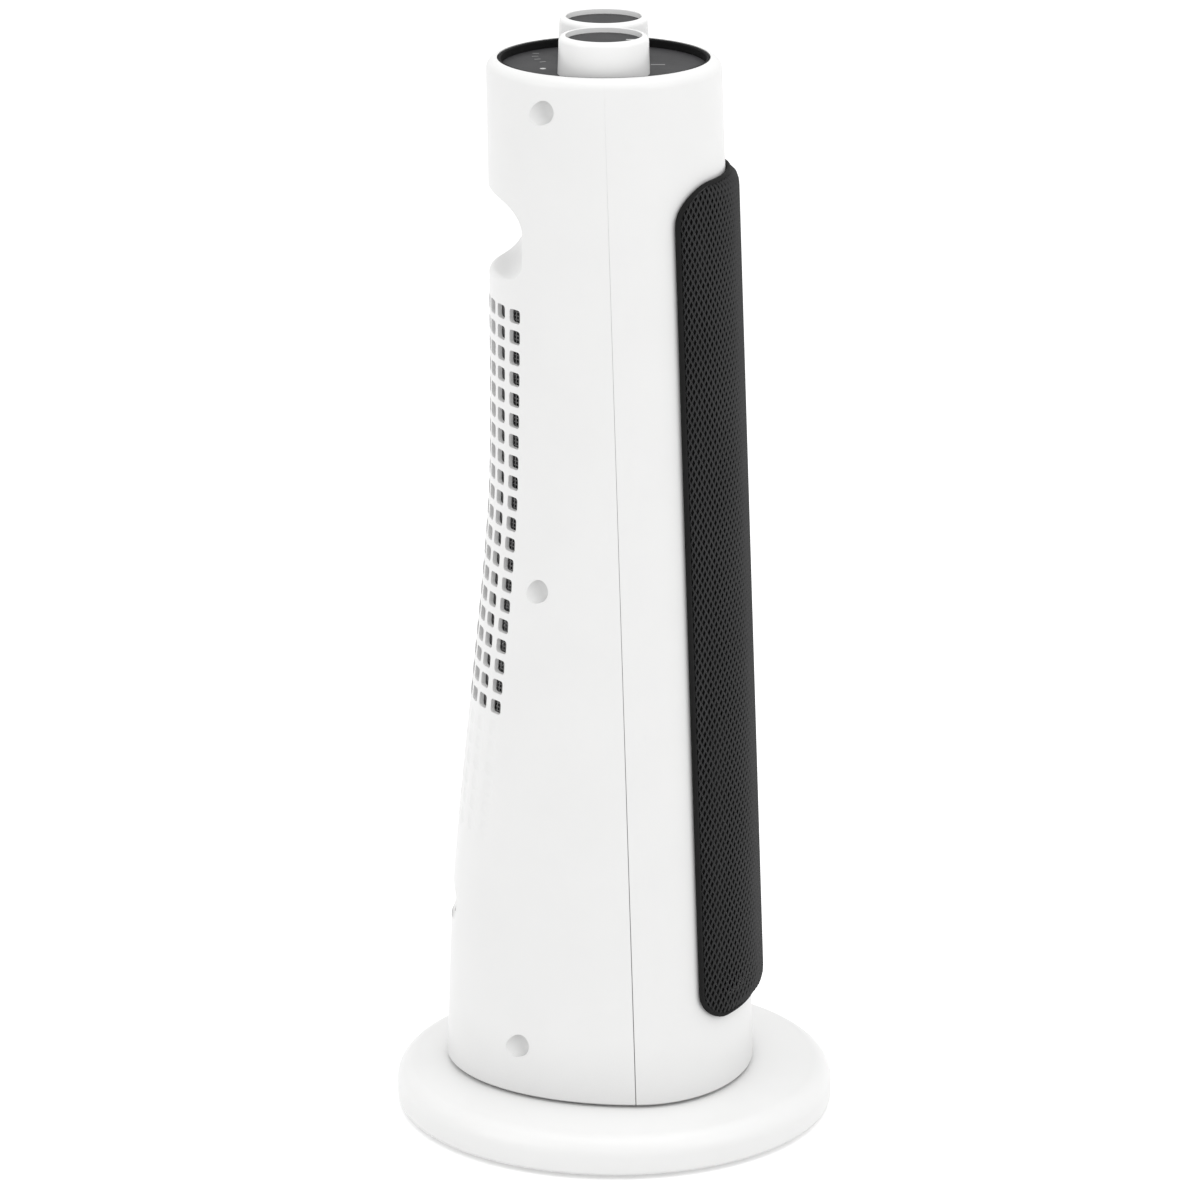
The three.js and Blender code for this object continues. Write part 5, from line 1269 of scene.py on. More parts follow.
    def _seats(self, name: str, wall: float, floor: float) -> Piece:
        """Make the screws' cups and the gland's seat as one tool, or grown by their walls.

        Args:
            name: The tool's name.
            wall: How far the cups and the seat's side are grown.
            floor: How far the seat's floor is grown.

        Returns:
            The tool.
        """
        radius, depth = self.cup_radius + wall, self.cup_depth + wall
        tools = [self._cup(side, at, radius, depth) for side, at in self.screw_places()]
        tools.append(self._gland_tool(self.gland_recess + wall, self.gland_recess_depth + floor))
        return join(tools, name)

    def _cup(self, side: int, at: Vector, radius: float, depth: float) -> Piece:
        """Make the tool for a screw's cup, which runs straight in from the side.

        Args:
            side: 1 or -1, the side that it opens to.
            at: The point of the skin over it.
            radius: Its radius.
            depth: Its depth.

        Returns:
            The tool.
        """
        edge = radius * self.cup_edge
        profile = [
            (0, -depth),
            (radius - edge, -depth),
            (radius, edge - depth),
            (radius, radius),
            (0, radius),
        ]
        tool = turned("cup", profile, self.cup_sides, Vector())
        lay_along(tool, Axis.ACROSS, side, at)
        return tool

    def scoops(self) -> Piece:
        """Make the tool for the screws' soft recesses.

        Each is a round-ended trough that runs out rearwards and down.

        Returns:
            The tool.
        """
        pattern = ellipsoid(self.scoop_round, self.scoop_mesh, (QUARTER, 0, 0))
        for corner in pattern.data.vertices:
            if corner.co.y > 0:
                corner.co.y += self.scoop_run
        outward, along, up = self.scoop_shift
        scoops = []
        for side, at in self.screw_places():
            scoop = copy_of(pattern, "scoop")
            scoop.location = at + Vector((side * outward, along, up))
            scoop.rotation_euler = (-self.scoop_fall, 0, 0)
            scoops.append(scoop)
        bpy.data.objects.remove(pattern)
        whole = join(scoops, "scoops")
        settle(whole)
        return whole

    def _gland_tool(self, radius: float, depth: float) -> Piece:
        """Make a round tool that runs in from the rear at the cord gland.

        Args:
            radius: Its radius.
            depth: Its depth.

        Returns:
            The tool.
        """
        tool = rod("gland_seat", radius, -depth, self.overrun, self.gland_sides, Vector())
        lay_along(tool, Axis.REARWARDS, 1, self.gland_place)
        return tool

    def _gland_groove(self, grow: float) -> Piece:
        """Make the soft groove across the rear, round the gland, as a tool.

        Args:
            grow: How far the groove is grown.

        Returns:
            The tool.
        """
        radii = (self.groove_reach, self.groove_depth + grow, self.groove_round + grow)
        return ellipsoid(radii, self.groove_mesh, (0, QUARTER, 0), self.gland_place)

    def _unshade_holes(self, rear: Piece, lining: Material) -> None:
        """Give the walls of the air holes the shells' white without its painted shade, so that they
        stay bright.

        Args:
            rear: The finished rear shell.
            lining: The shells' white without its painted shade.
        """
        rear.data.materials.append(lining)
        reach, low, high = self.vent_field
        for face in rear.data.polygons:
            x, y, z = face.center
            if y > 0 and abs(x) < reach and low < z < high:
                facing = self.skin.rear_facing(x, z)
                across = face.normal.x * math.cos(facing) + face.normal.y * math.sin(facing)
                face.material_index = int(abs(across) < self.vent_wall_facing)

    def _vents(self) -> Piece:
        """Make one tool with soft corners and repeat it, square to the skin, over the field.

        Returns:
            The tool for all air holes.
        """
        depth = self.skin.wall * 2
        half = (self.vent_width / 2, depth, self.vent_height / 2)
        pattern = box_between("vent", [-size for size in half], half)
        with editing(pattern):
            select_edges(pattern, lambda edge: abs(run_of(edge).y) > depth)
            bpy.ops.mesh.bevel(
                offset=self.vent_corner, segments=self.vent_corner_steps, affect="EDGES"
            )
        return self._repeated(pattern, range(self.vent_rows), "vents")

    def _repeated(self, pattern: Piece, rows: range, name: str) -> Piece:
        """Copy a tool to each place of some rows.

        Args:
            pattern: A tool modelled at the origin, its +Y outwards, which is used up.
            rows: The rows, counted from the top one down.
            name: The name of the whole.

        Returns:
            The copies in one.
        """
        tools = []
        for row in rows:
            z = self.vent_top - row * self.vent_row_pitch
            for column in range(self.vent_columns):
                x = (column - (self.vent_columns - 1) / 2) * self.vent_column_pitch
                tool = copy_of(pattern, name)
                tool.location = (x, self.skin.rear_at(x, z), z)
                tool.rotation_euler = (0, 0, self.skin.rear_facing(x, z) - QUARTER)
                tools.append(tool)
        bpy.data.objects.remove(pattern)
        whole = join(tools, name)
        settle(whole)
        return whole

    def _pocket(self) -> Piece:
        """Make the tool that thins the wall behind the air holes.

        Returns:
            The tool.
        """
        skin = self.skin
        reach = self.vent_field[0]
        margin = (self.vent_row_pitch + self.vent_height) / 2
        low, high = self.vent_top - (self.vent_rows - 1) * self.vent_row_pitch, self.vent_top
        wall, sides, rings = self.vent_wall, self.tool_sides, self.pocket_rings
        pocket = skin.solid("pocket", wall, low - margin, high + margin, sides, rings)
        field = box_between(
            "field",
            (-reach, self.grip_back / 2, low - margin * 2),
            (reach, skin.foot_rear + self.overrun, high + margin * 2),
        )
        boolean(pocket, field, Act.LIMIT)
        return pocket

    def _dimples(self) -> Piece:
        """Make the faint dimples that carry the air holes' pattern on downwards.

        Returns:
            The tool for all dimples.
        """
        radii = (self.dimple_round, self.dimple_bulge, self.dimple_round)
        centre = (0, self.dimple_bulge - self.dimple_depth, 0)
        pattern = ellipsoid(radii, self.dimple_mesh, (QUARTER, 0, 0), centre)
        rows = range(self.vent_rows, self.vent_rows + self.dimple_rows)
        return self._repeated(pattern, rows, "dimples")


@dataclass
class IntakeGauze:
    """A fine grey gauze behind the air holes; its grey paints the shade seen through them."""

    shells: Shells
    sink: float = 0.0028
    pitch: float = 0.0016
    strand: float = 0.0007

    def build(self, material: Material) -> None:
        """Model the gauze and put it on the tower.

        Args:
            material: The gauze's grey, which paints shade into the air holes.
        """
        skin = self.shells.skin
        half, low, high = self.shells.vent_field
        deselect_all()
        bpy.ops.mesh.primitive_grid_add(
            x_subdivisions=round(half * 2 / self.pitch),
            y_subdivisions=round((high - low) / self.pitch),
            size=GRID_HALF * 2,
        )
        sheet = bpy.context.object
        for corner in sheet.data.vertices:
            z = low + (corner.co.y + GRID_HALF) * (high - low)
            x = corner.co.x * half * 2
            turn = math.acos(x / (skin.half_width(z) - self.sink))
            corner.co = skin.point(turn, z, -self.sink)
        leave_strands(sheet, self.strand)
        finish_piece(sheet, "intake_gauze", "tower", material)


# Grille


@dataclass(frozen=True)
class GrilleOutline:
    """The grille's outline on the front of the skin."""

    skin: TowerSkin
    low: float = 0.0531
    high: float = 0.3943
    half_angle: float = math.radians(56)
    edge_proud: float = 0.002
    crown: float = 0.0034
    crown_span: float = 1.1
    end_round: float = 0.006
    top_corner: float = 0.015
    bottom_corner: float = 0.011
    corner_steps: int = 8
    side_steps: int = 48
    level_steps: int = 24
    prism_shares: tuple[float, float] = (0.42, 1.4)

    def side(self, z: float) -> float:
        """The outline's half width, straight across, at a height."""
        return (self.skin.half_width(z) + self.edge_proud) * math.sin(self.half_angle)

    def turn_at(self, x: float, z: float) -> float:
        """The turn from straight ahead at a place straight across and up."""
        return math.asin(max(min(x / (self.skin.half_width(z) + self.edge_proud), 1), -1))

    def proud(self, turn: float, z: float) -> float:
        """How far the grille stands out of the skin at a place.

        Args:
            turn: The turn from straight ahead.
            z: The height.

        Returns:
            The distance.
        """
        inward = min(max(min(z - self.low, self.high - z), 0), self.end_round) / self.end_round
        share = turn / (self.half_angle * self.crown_span)
        swell = self.crown * math.sqrt(1 - (1 - inward) ** 2) * math.cos(share * QUARTER) ** 2
        return self.edge_proud + swell

    def point(self, turn: float, z: float, sink: float = 0.0) -> Vector:
        """A point of the grille, turned from straight ahead, a little way under its face."""
        return self.skin.point(turn - QUARTER, z, self.proud(turn, z) - sink)

    def inside(self, x: float, z: float) -> Point:
        """Move a place onto the outline if it lies outside a round corner.

        Args:
            x: The place straight across.
            z: The height.

        Returns:
            The place, moved or as it was.
        """
        for corner, radius, way in (
            (self.high - self.top_corner, self.top_corner, 1),
            (self.low + self.bottom_corner, self.bottom_corner, -1),
        ):
            across = self.side(z) - radius
            out, up = abs(x) - across, (z - corner) * way
            reach = math.hypot(out, up)
            if out > 0 and up > 0 and reach > radius:
                moved = math.copysign(across + out / reach * radius, x)
                return moved, corner + up / reach * radius * way
        return x, z

    def loop(self, inset: float, top_corner: float, bottom_corner: float) -> list[Point]:
        """Give the outline's points, straight across and up.

        Args:
            inset: How far the outline is moved in.
            top_corner: The radius of its upper corners.
            bottom_corner: The radius of its lower corners.

        Returns:
            The points from the lower right round to the lower left.
        """
        middle, top = self.low + inset + bottom_corner, self.high - inset - top_corner
        foot = (self.side(middle) - inset - bottom_corner, middle)
        head = (self.side(top) - inset - top_corner, top)
        steps = self.side_steps
        heights = [middle + (top - middle) * k / steps for k in range(1, steps)]
        right = [
            *arc(foot, bottom_corner, -QUARTER, 0, self.corner_steps),
            *((self.side(z) - inset, z) for z in heights),
            *arc(head, top_corner, 0, QUARTER, self.corner_steps),
        ]
        return right + [(-x, z) for x, z in reversed(right)]

    def path(self, inset: float, top_corner: float, bottom_corner: float) -> list[Point]:
        """Give the outline as a closed path, also with points along its level ends.

        Args:
            inset: How far the outline is moved in.
            top_corner: The radius of its upper corners.
            bottom_corner: The radius of its lower corners.

        Returns:
            The points.
        """
        loop = self.loop(inset, top_corner, bottom_corner)
        half, level = len(loop) // 2, self.level_steps
        top, low = loop[half - 1][0], loop[0][0]
        over = [(top - top * 2 * k / level, self.high - inset) for k in range(1, level)]
        under = [(low * 2 * k / level - low, self.low + inset) for k in range(1, level)]
        return [*loop[:half], *over, *loop[half:], *under]

    def prism(self, inset: float, corner: float) -> Piece:
        """Make a prism of the outline that runs from inside the tower out past its front.

        Args:
            inset: How far the outline is moved in.
            corner: The radius of its corners.

        Returns:
            The prism.
        """
        points = self.loop(inset, corner, corner)
        reaches = [-self.skin.foot_front * share for share in self.prism_shares]

        def place(i: int, k: int) -> Vector:
            """Give corner i of the near or the far end."""
            x, z = points[i]
            return Vector((x, reaches[k], z))

        return lofted("window", len(points), len(reaches), place)


@dataclass
class Grille:
    """The crowned mesh panel and the bead round its edge."""

    outline: GrilleOutline
    cell_width: float = 0.0031
    cell_height: float = 0.0044
    grid_spread: float = 2.2
    strand: float = 0.0011
    bead: float = 0.0011
    bead_proud: float = 0.0013
    bead_resolution: int = 3
    border_inset: float = 0.0004
    border_width: float = 0.0065
    border_sink: float = 0.0014
    border_thick: float = 0.0004
    ribs: tuple[float, ...] = (-0.016, 0.0, 0.016)
    rib_thick: float = 0.0012
    rib_depth: float = 0.013
    rib_sink: float = 0.0018
    rib_margin: float = 0.009
    rib_steps: int = 60
    sharp_degrees: float = 50

    def build(self, material: Material, inner: Material) -> None:
        """Model the grille and put it on the tower.

        Args:
            material: The finish of its mesh.
            inner: The finish of its bead, border and ribs.
        """
        mesh = self._mesh()
        ribs = [self._bead(), self._border(), *(self._rib(x) for x in self.ribs)]
        for piece, name, finish in (
            (mesh, "front_grille_mesh", material),
            (join(ribs, "front_grille_ribs"), "front_grille_ribs", inner),
        ):
            finish_piece(
                piece, name, "tower", finish, ["front_grille"], self.sharp_degrees
            )

    def _rib(self, x: float) -> Piece:
        """Make an upright rib that backs the mesh and keeps to its crown.

        Args:
            x: Its place across.

        Returns:
            The rib.
        """
        outline = self.outline
        low, high = outline.low + self.rib_margin, outline.high - self.rib_margin
        rib = box_between("rib", (-self.rib_thick / 2, 0, 0), (self.rib_thick / 2, 1, 1))
        with editing(rib):
            for k in range(1, self.rib_steps):
                bpy.ops.mesh.select_all(action="SELECT")
                bpy.ops.mesh.bisect(plane_co=(0, 0, k / self.rib_steps), plane_no=(0, 0, 1))
        for corner in rib.data.vertices:
            z = low + corner.co.z * (high - low)
            face = outline.point(outline.turn_at(x, z), z, self.rib_sink).y
            corner.co = Vector((x + corner.co.x, face + corner.co.y * self.rib_depth, z))
        recalculate(rib)
        return rib

    def _mesh(self) -> Piece:
        """Turn a grid into diamonds, lay it on the crowned front and leave only its strands.

        Returns:
            The mesh panel.
        """
        outline = self.outline
        width = outline.side(outline.low) * self.grid_spread
        deselect_all()
        bpy.ops.mesh.primitive_grid_add(
            x_subdivisions=round(width / self.cell_width),
            y_subdivisions=round((outline.high - outline.low) / self.cell_height),
            size=GRID_HALF * 2,
        )
        sheet = bpy.context.object
        with editing(sheet):
            bpy.ops.mesh.poke()
            select_edges(sheet, self._is_straight)
            bpy.ops.mesh.dissolve_edges(use_verts=False)
        self._lay(sheet)
        leave_strands(sheet, self.strand)
        return sheet

    def _is_straight(self, edge: Edge) -> bool:
        """Tell the grid's own inner edges from the slanting ones and its border."""
        run = run_of(edge)
        return not edge.is_boundary and min(abs(run.x), abs(run.y)) < MERGE_DISTANCE

    def _lay(self, sheet: Piece) -> None:
        """Lay the flat sheet on the crowned front, with its corners drawn in to the outline.

        Args:
            sheet: The flat sheet.
        """
        outline = self.outline
        for corner in sheet.data.vertices:
            turn = corner.co.x * 2 * outline.half_angle
            z = outline.low + (corner.co.y + GRID_HALF) * (outline.high - outline.low)
            reach = outline.skin.half_width(z) + outline.edge_proud
            x, z = outline.inside(math.sin(turn) * reach, z)
            corner.co = outline.point(outline.turn_at(x, z), z, self.strand / 2)

    def _border(self) -> Piece:
        """Lay a thin solid border behind the mesh, over the window's ledge.

        Returns:
            The border.
        """
        outline = self.outline
        corner = outline.bottom_corner - self.border_inset
        outer = outline.path(self.border_inset, outline.top_corner, outline.bottom_corner)
        inner = outline.path(self.border_width, corner, corner)
        deselect_all()
        bpy.ops.mesh.primitive_circle_add(vertices=len(outer), radius=1)
        border = bpy.context.object
        with editing(border):
            bpy.ops.mesh.extrude_edges_move()
        for vertex, (x, z) in zip(border.data.vertices, [*outer, *inner]):
            vertex.co = outline.point(outline.turn_at(x, z), z, self.border_sink)
        recalculate(border)
        apply_modifier(border, "SOLIDIFY", thickness=self.border_thick, offset=0)
        return border

    def _bead(self) -> Piece:
        """Run a round bead along the outline.

        Returns:
            The bead.
        """
        outline = self.outline
        path = outline.path(0, outline.top_corner, outline.bottom_corner)
        curve = bpy.data.curves.new("bead", "CURVE")
        curve.dimensions = "3D"
        curve.bevel_depth = self.bead
        curve.bevel_resolution = self.bead_resolution
        spline = curve.splines.new("POLY")
        spline.points.add(len(path) - 1)
        for knot, (x, z) in zip(spline.points, path):
            place = outline.skin.point(outline.turn_at(x, z) - QUARTER, z, self.bead_proud)
            knot.co = (*place, 1)
        spline.use_cyclic_u = True
        bead = bpy.data.objects.new("bead", curve)
        bpy.context.collection.objects.link(bead)
        choose(bead)
        bpy.ops.object.convert(target="MESH")
        recalculate(bead)
        return bead


# Base


@dataclass
class Base:
    """The round base's cover and its feet."""

    radius: float = 0.09
    top: float = 0.02
    wall: float = 0.0025
    collar: float = 0.048
    collar_wall: float = 0.0025
    collar_low: float = 0.0084
    collar_round: float = 0.0006
    collar_steps: int = 4
    bottom: float = 0.0018
    edge_round: float = 0.008
    edge_steps: int = 12
    inner_edge_steps: int = 8
    toe_round: float = 0.002
    toe_steps: int = 6
    dome_drop: float = 0.0024
    dome_steps: int = 10
    flat_radius: float = 0.06
    sides: int = 192
    sharp_degrees: float = 40
    pads: int = 4
    pad_radius: float = 0.007
    pad_height: float = 0.0015
    pad_round: float = 0.0004
    pad_steps: int = 4
    pad_sides: int = 40

    def build(self, white: Material, rubber: Material) -> None:
        """Model the cover and the feet.

        Args:
            white: The cover's finish.
            rubber: The feet's finish.
        """
        name = "base_cover"
        cover = turned(name, self._cover_profile(), self.sides, Vector())
        finish_piece(
            cover, f"{name}_smooth", "base", white, [name], self.sharp_degrees
        )
        for number in range(1, self.pads + 1):
            self._pad(number, rubber)

    def _cover_profile(self) -> list[Point]:
        """Give the cover's section.

        Returns:
            The points: collar, flat top, dome, round edge, side and toe, then back inside.
        """
        edge_centre = (self.radius - self.edge_round, self.top - self.dome_drop - self.edge_round)
        run = edge_centre[0] - self.flat_radius
        steps = self.dome_steps
        lip, low = self.collar_round, self.collar_low
        toe_centre = (self.radius - self.toe_round, self.bottom + self.toe_round)
        inner_collar, inner_top = self.collar + self.collar_wall, self.top - self.wall
        inner_edge = self.edge_round - self.wall
        return [
            (self.collar, low),
            (self.collar, self.top - lip),
            *arc((self.collar + lip, self.top - lip), lip, math.pi, QUARTER, self.collar_steps)[1:],
            (self.flat_radius, self.top),
            *(
                (self.flat_radius + run * k / steps, self.top - self.dome_drop * (k / steps) ** 2)
                for k in range(1, steps)
            ),
            *arc(edge_centre, self.edge_round, QUARTER, 0, self.edge_steps),
            *arc(toe_centre, self.toe_round, 0, -QUARTER, self.toe_steps),
            (self.radius - self.wall, self.bottom),
            *arc(edge_centre, inner_edge, 0, QUARTER, self.inner_edge_steps),
            (self.flat_radius, inner_top),
            (inner_collar, inner_top),
            (inner_collar, low),
            (self.collar, low),
        ]

    def _pad(self, number: int, rubber: Material) -> None:
        """Model one rubber foot.

        Args:
            number: Its number.
            rubber: Its finish.
        """
        node = f"foot_pad_{number}"
        low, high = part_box(node)
        middle = (Vector(low) + Vector(high)) / 2
        flat = self.pad_radius - self.pad_round
        profile = [
            (0, 0),
            (flat, 0),
            *arc((flat, self.pad_round), self.pad_round, -QUARTER, 0, self.pad_steps)[1:],
            (self.pad_radius, self.pad_height),
            (0, self.pad_height),
        ]
        pad = turned("pad", profile, self.pad_sides, Vector((middle.x, middle.y, 0)))
        finish_piece(pad, f"rubber_foot_{number}", "base", rubber, [node])


# Head


@dataclass
class Dial:
    """A dial with its inset cap."""

    name: str
    body: str
    x: float
    y: float
    pointer_deg: float
    radius: float = 0.018
    taper: float = 0.0004
    low: float = 0.4364
    high: float = 0.4515
    edge_round: float = 0.0022
    edge_steps: int = 6
    wall: float = 0.003
    web: float = 0.0022
    seat_edge: float = 0.0002
    cap_sink: float = 0.0019
    cap_thick: float = 0.0015
    gap: float = 0.0003
    cap_round: float = 0.0005
    cap_steps: int = 4
    boss: float = 0.0055
    bore: float = 0.0033
    pointer: tuple[float, float, float] = (0.0052, 0.0012, 0.00012)
    pointer_reach: float = 0.0113
    sides: int = 120

    def build(self, white: Material, dark: Material, mark: Material) -> None:
        """Model the dial, its cap and its pointer.

        Args:
            white: The dial's finish.
            dark: The cap's finish.
            mark: The pointer's finish.
        """
        name, centre = self.name, Vector((self.x, self.y, 0))
        dial = turned(name, self._profile(), self.sides, centre)
        finish_piece(dial, f"{name}_smooth", self.body, white, [name])
        cap_high = self.high - self.cap_sink
        cap_low = cap_high - self.cap_thick
        cap_radius = self.radius - self.wall - self.gap
        edge = rounded_edge(cap_radius, cap_high, self.cap_round, self.cap_steps)
        profile = [(0, cap_low), (cap_radius, cap_low), *edge, (0, cap_high)]
        name = f"{name}_cap"
        cap = turned(name, profile, self.sides, centre)
        finish_piece(cap, f"{name}_smooth", self.body, dark, [name])
        turn = math.radians(self.pointer_deg)
        ahead = Vector((math.cos(turn), math.sin(turn), 0)) * self.pointer_reach
        deselect_all()
        bpy.ops.mesh.primitive_cube_add(
            size=1,
            location=centre + ahead + Vector((0, 0, cap_high)),
            rotation=(0, 0, turn),
            scale=self.pointer,
        )
        pointer = bpy.context.object
        finish_piece(pointer, f"{self.name}_pointer", self.body, mark)

    def _profile(self) -> list[Point]:
        """Give the dial's section.

        Returns:
            The points from the shaft's bore out over the rim and back to the web.
        """
        top = self.radius - self.taper
        inside = top - self.wall
        web_high = self.high - self.cap_sink - self.cap_thick - self.gap
        web_low = web_high - self.web
        boss_low = self.low + self.web
        seat = inside + self.taper
        return [
            (self.bore, boss_low),
            (self.boss, boss_low),
            (self.boss, web_low),
            (inside, web_low),
            (inside, self.low),
            (self.radius, self.low),
            *rounded_edge(top, self.high, self.edge_round, self.edge_steps),
            (seat + self.seat_edge, self.high),
            (seat, self.high - self.seat_edge),
            (seat, web_high),
            (0, web_high),
            (0, web_low + self.gap),
            (self.bore, web_low + self.gap),
            (self.bore, boss_low),
        ]


@dataclass
class HeadPanel:
    """The dark tray sunk in the rim, with its print."""

    y: float
    radius: float = 0.0417
    lip_wall: float = 0.0012
    low: float = 0.4334
    high: float = 0.4356
    lip_high: float = 0.4389
    edge_round: float = 0.0004
    edge_steps: int = 3
    sides: int = 160
    boss_radius: float = 0.003
    boss_low: float = 0.4271
    boss_x: float = 0.027
    boss_y: float = 0.021
    shaft_hole: float = 0.0036
    rod_sides: int = 40
    dial_x: float = 0.0192
    print_height: float = 0.00006
    tick_reach: float = 0.0272
    tick_length: float = 0.0026
    tick_width: float = 0.0009
    ticks_deg: tuple[float, ...] = (82, 94, 106, 118)
    bar_middle: Point = (0.0008, -0.0168)
    bar_length: float = 0.0056
    bar_width: float = 0.0014
    dot_middle: Point = (-0.007, 0.0283)
    dot_radius: float = 0.0012

    def build(self, materials: dict[str, Material]) -> None:
        """Model the panel and its print.

        Args:
            materials: The finishes by name.
        """
        for piece, name, finish in (
            (self._tray(), "top_panel_smooth", "head_grey"),
            (self._tray_lip(), "top_panel_lip", "duct_black"),
        ):
            finish_piece(
                piece, name, "tower", materials[finish], ["top_panel"]
            )
        dull = [self._tick(degrees) for degrees in self.ticks_deg]
        dull.append(self._bar(self.bar_middle, self.bar_length, self.bar_width, QUARTER))
        for marks, finish in (([self._dot()], "white_print"), (dull, "grey_print")):
            name = f"panel_{finish}"
            finish_piece(join(marks, name), name, "tower", materials[finish])

    def _tray(self) -> Piece:
        """Turn the tray, with its bosses below and the holes for the dials' shafts.

        Returns:
            The tray.
        """
        room, middle = self.radius - self.lip_wall, Vector((0, self.y, 0))
        tray = rod("panel", room, self.low, self.high, self.sides, middle)
        for side in (-1, 1):
            for way in (-1, 1):
                at = Vector((side * self.boss_x, self.y + way * self.boss_y, 0))
                boss = self._rod(self.boss_radius, self.boss_low, self.low + self.edge_round, at)
                boolean(tray, boss, Act.JOIN)
            at = Vector((side * self.dial_x, self.y, 0))
            boolean(tray, self._rod(self.shaft_hole, self.boss_low, self.lip_high, at), Act.CUT)
        return tray

    def _tray_lip(self) -> Piece:
        """Turn the thin wall round the tray.

        Returns:
            The wall.
        """
        room, edge = self.radius - self.lip_wall, self.edge_round
        profile = [
            (room, self.low),
            (self.radius, self.low),
            *rounded_edge(self.radius, self.lip_high, edge, self.edge_steps),
            (room + edge, self.lip_high),
            (room, self.lip_high - edge),
            (room, self.low),
        ]
        return turned("lip", profile, self.sides, Vector((0, self.y, 0)))

    def _rod(self, radius: float, low: float, high: float, at: Vector) -> Piece:
        """Make an upright rod, such as a boss, a hole's tool or the dot."""
        return rod("rod", radius, low, high, self.rod_sides, at)

    def _bar(self, middle: Point, length: float, width: float, turn: float) -> Piece:
        """Print one bar.

        Args:
            middle: Its middle, seen from above.
            length: Its length.
            width: Its width.
            turn: The way that its length points.

        Returns:
            The bar.
        """
        deselect_all()
        bpy.ops.mesh.primitive_cube_add(
            size=1,
            location=(*middle, self.high),
            rotation=(0, 0, turn),
            scale=(length, width, self.print_height * 2),
        )
        bar = bpy.context.object
        settle(bar)
        return bar

    def _tick(self, degrees: float) -> Piece:
        """Print one radial tick round the thermostat dial.

        Args:
            degrees: Its place round the dial.

        Returns:
            The tick.
        """
        turn = math.radians(degrees)
        x = self.dial_x + math.cos(turn) * self.tick_reach
        y = self.y + math.sin(turn) * self.tick_reach
        return self._bar((x, y), self.tick_length, self.tick_width, turn)

    def _dot(self) -> Piece:
        """Print the dot."""
        low, high = self.high - self.print_height, self.high + self.print_height
        return self._rod(self.dot_radius, low, high, Vector((*self.dot_middle, 0)))


# Fasteners and gland


@dataclass
class ShellScrews:
    """The screws in the shells' cups, each under a moulded cover with a soft hollow."""

    shells: Shells
    seat_gap: float = 0.0003
    cover_radius: float = 0.00478
    cover_sink: float = 0.00001
    reach: float = 0.008
    shank: float = 0.0015
    tail: float = 0.006
    sides: int = 64

    def build(self, white: Material) -> None:
        """Model one screw, put a copy in every cup and hollow its cover.

        Args:
            white: The covers' finish.
        """
        shells, skin = self.shells, self.shells.skin
        pattern = self._pattern()
        rim_low = skin.top - skin.rim_round
        limit = skin.solid(
            "limit", self.cover_sink, skin.bottom, rim_low, shells.sides, shells.rings
        )
        scoops = shells.scoops()
        for number, (side, at) in enumerate(shells.screw_places(), 1):
            name, node = f"covered_screw_{number}", f"shell_screw_{number}"
            screw = copy_of(pattern, name)
            lay_along(screw, Axis.ACROSS, side, at)
            recalculate(screw)
            boolean(screw, limit, Act.LIMIT, keep=True)
            boolean(screw, scoops, Act.CUT, keep=True)
            finish_piece(screw, name, "tower", white, [node])
        for tool in (pattern, limit, scoops):
            bpy.data.objects.remove(tool)

    def _pattern(self) -> Piece:
        """Model a screw with its cover about the Z axis, the cover still longer than its cup.

        Returns:
            The screw.
        """
        seat = self.seat_gap - self.shells.cup_depth
        profile = [
            (0, seat - self.tail),
            (self.shank, seat - self.tail),
            (self.shank, seat),
            (self.cover_radius, seat),
            (self.cover_radius, self.reach),
            (0, self.reach),
        ]
        return turned("screw", profile, self.sides, Vector())


@dataclass
class CordGland:
    """The plain gland in the rear, with no cord in it."""

    shells: Shells
    seat_gap: float = 0.0003
    flange: float = 0.00694
    flange_thick: float = 0.0007
    stem: float = 0.0052
    bore: float = 0.0037
    tail: float = 0.0065
    edge_round: float = 0.0003
    edge_steps: int = 3
    sides: int = 64

    def build(self, white: Material) -> None:
        """Model the gland.

        Args:
            white: The gland's finish.
        """
        top, edge = self.flange_thick, self.edge_round
        profile = [
            (self.bore, -self.tail),
            (self.stem, -self.tail),
            (self.stem, 0),
            (self.flange, 0),
            *rounded_edge(self.flange, top, edge, self.edge_steps),
            (self.bore + edge, top),
            (self.bore, top - edge),
            (self.bore, -self.tail),
        ]
        gland = turned("gland", profile, self.sides, Vector())
        height = self.shells.gland_height
        seat = self.shells.skin.rear(height) - self.shells.gland_recess_depth + self.seat_gap
        lay_along(gland, Axis.REARWARDS, 1, Vector((0, seat, height)))
        finish_piece(gland, "cord_gland_smooth", "tower", white, ["cord_gland"])


# Inside


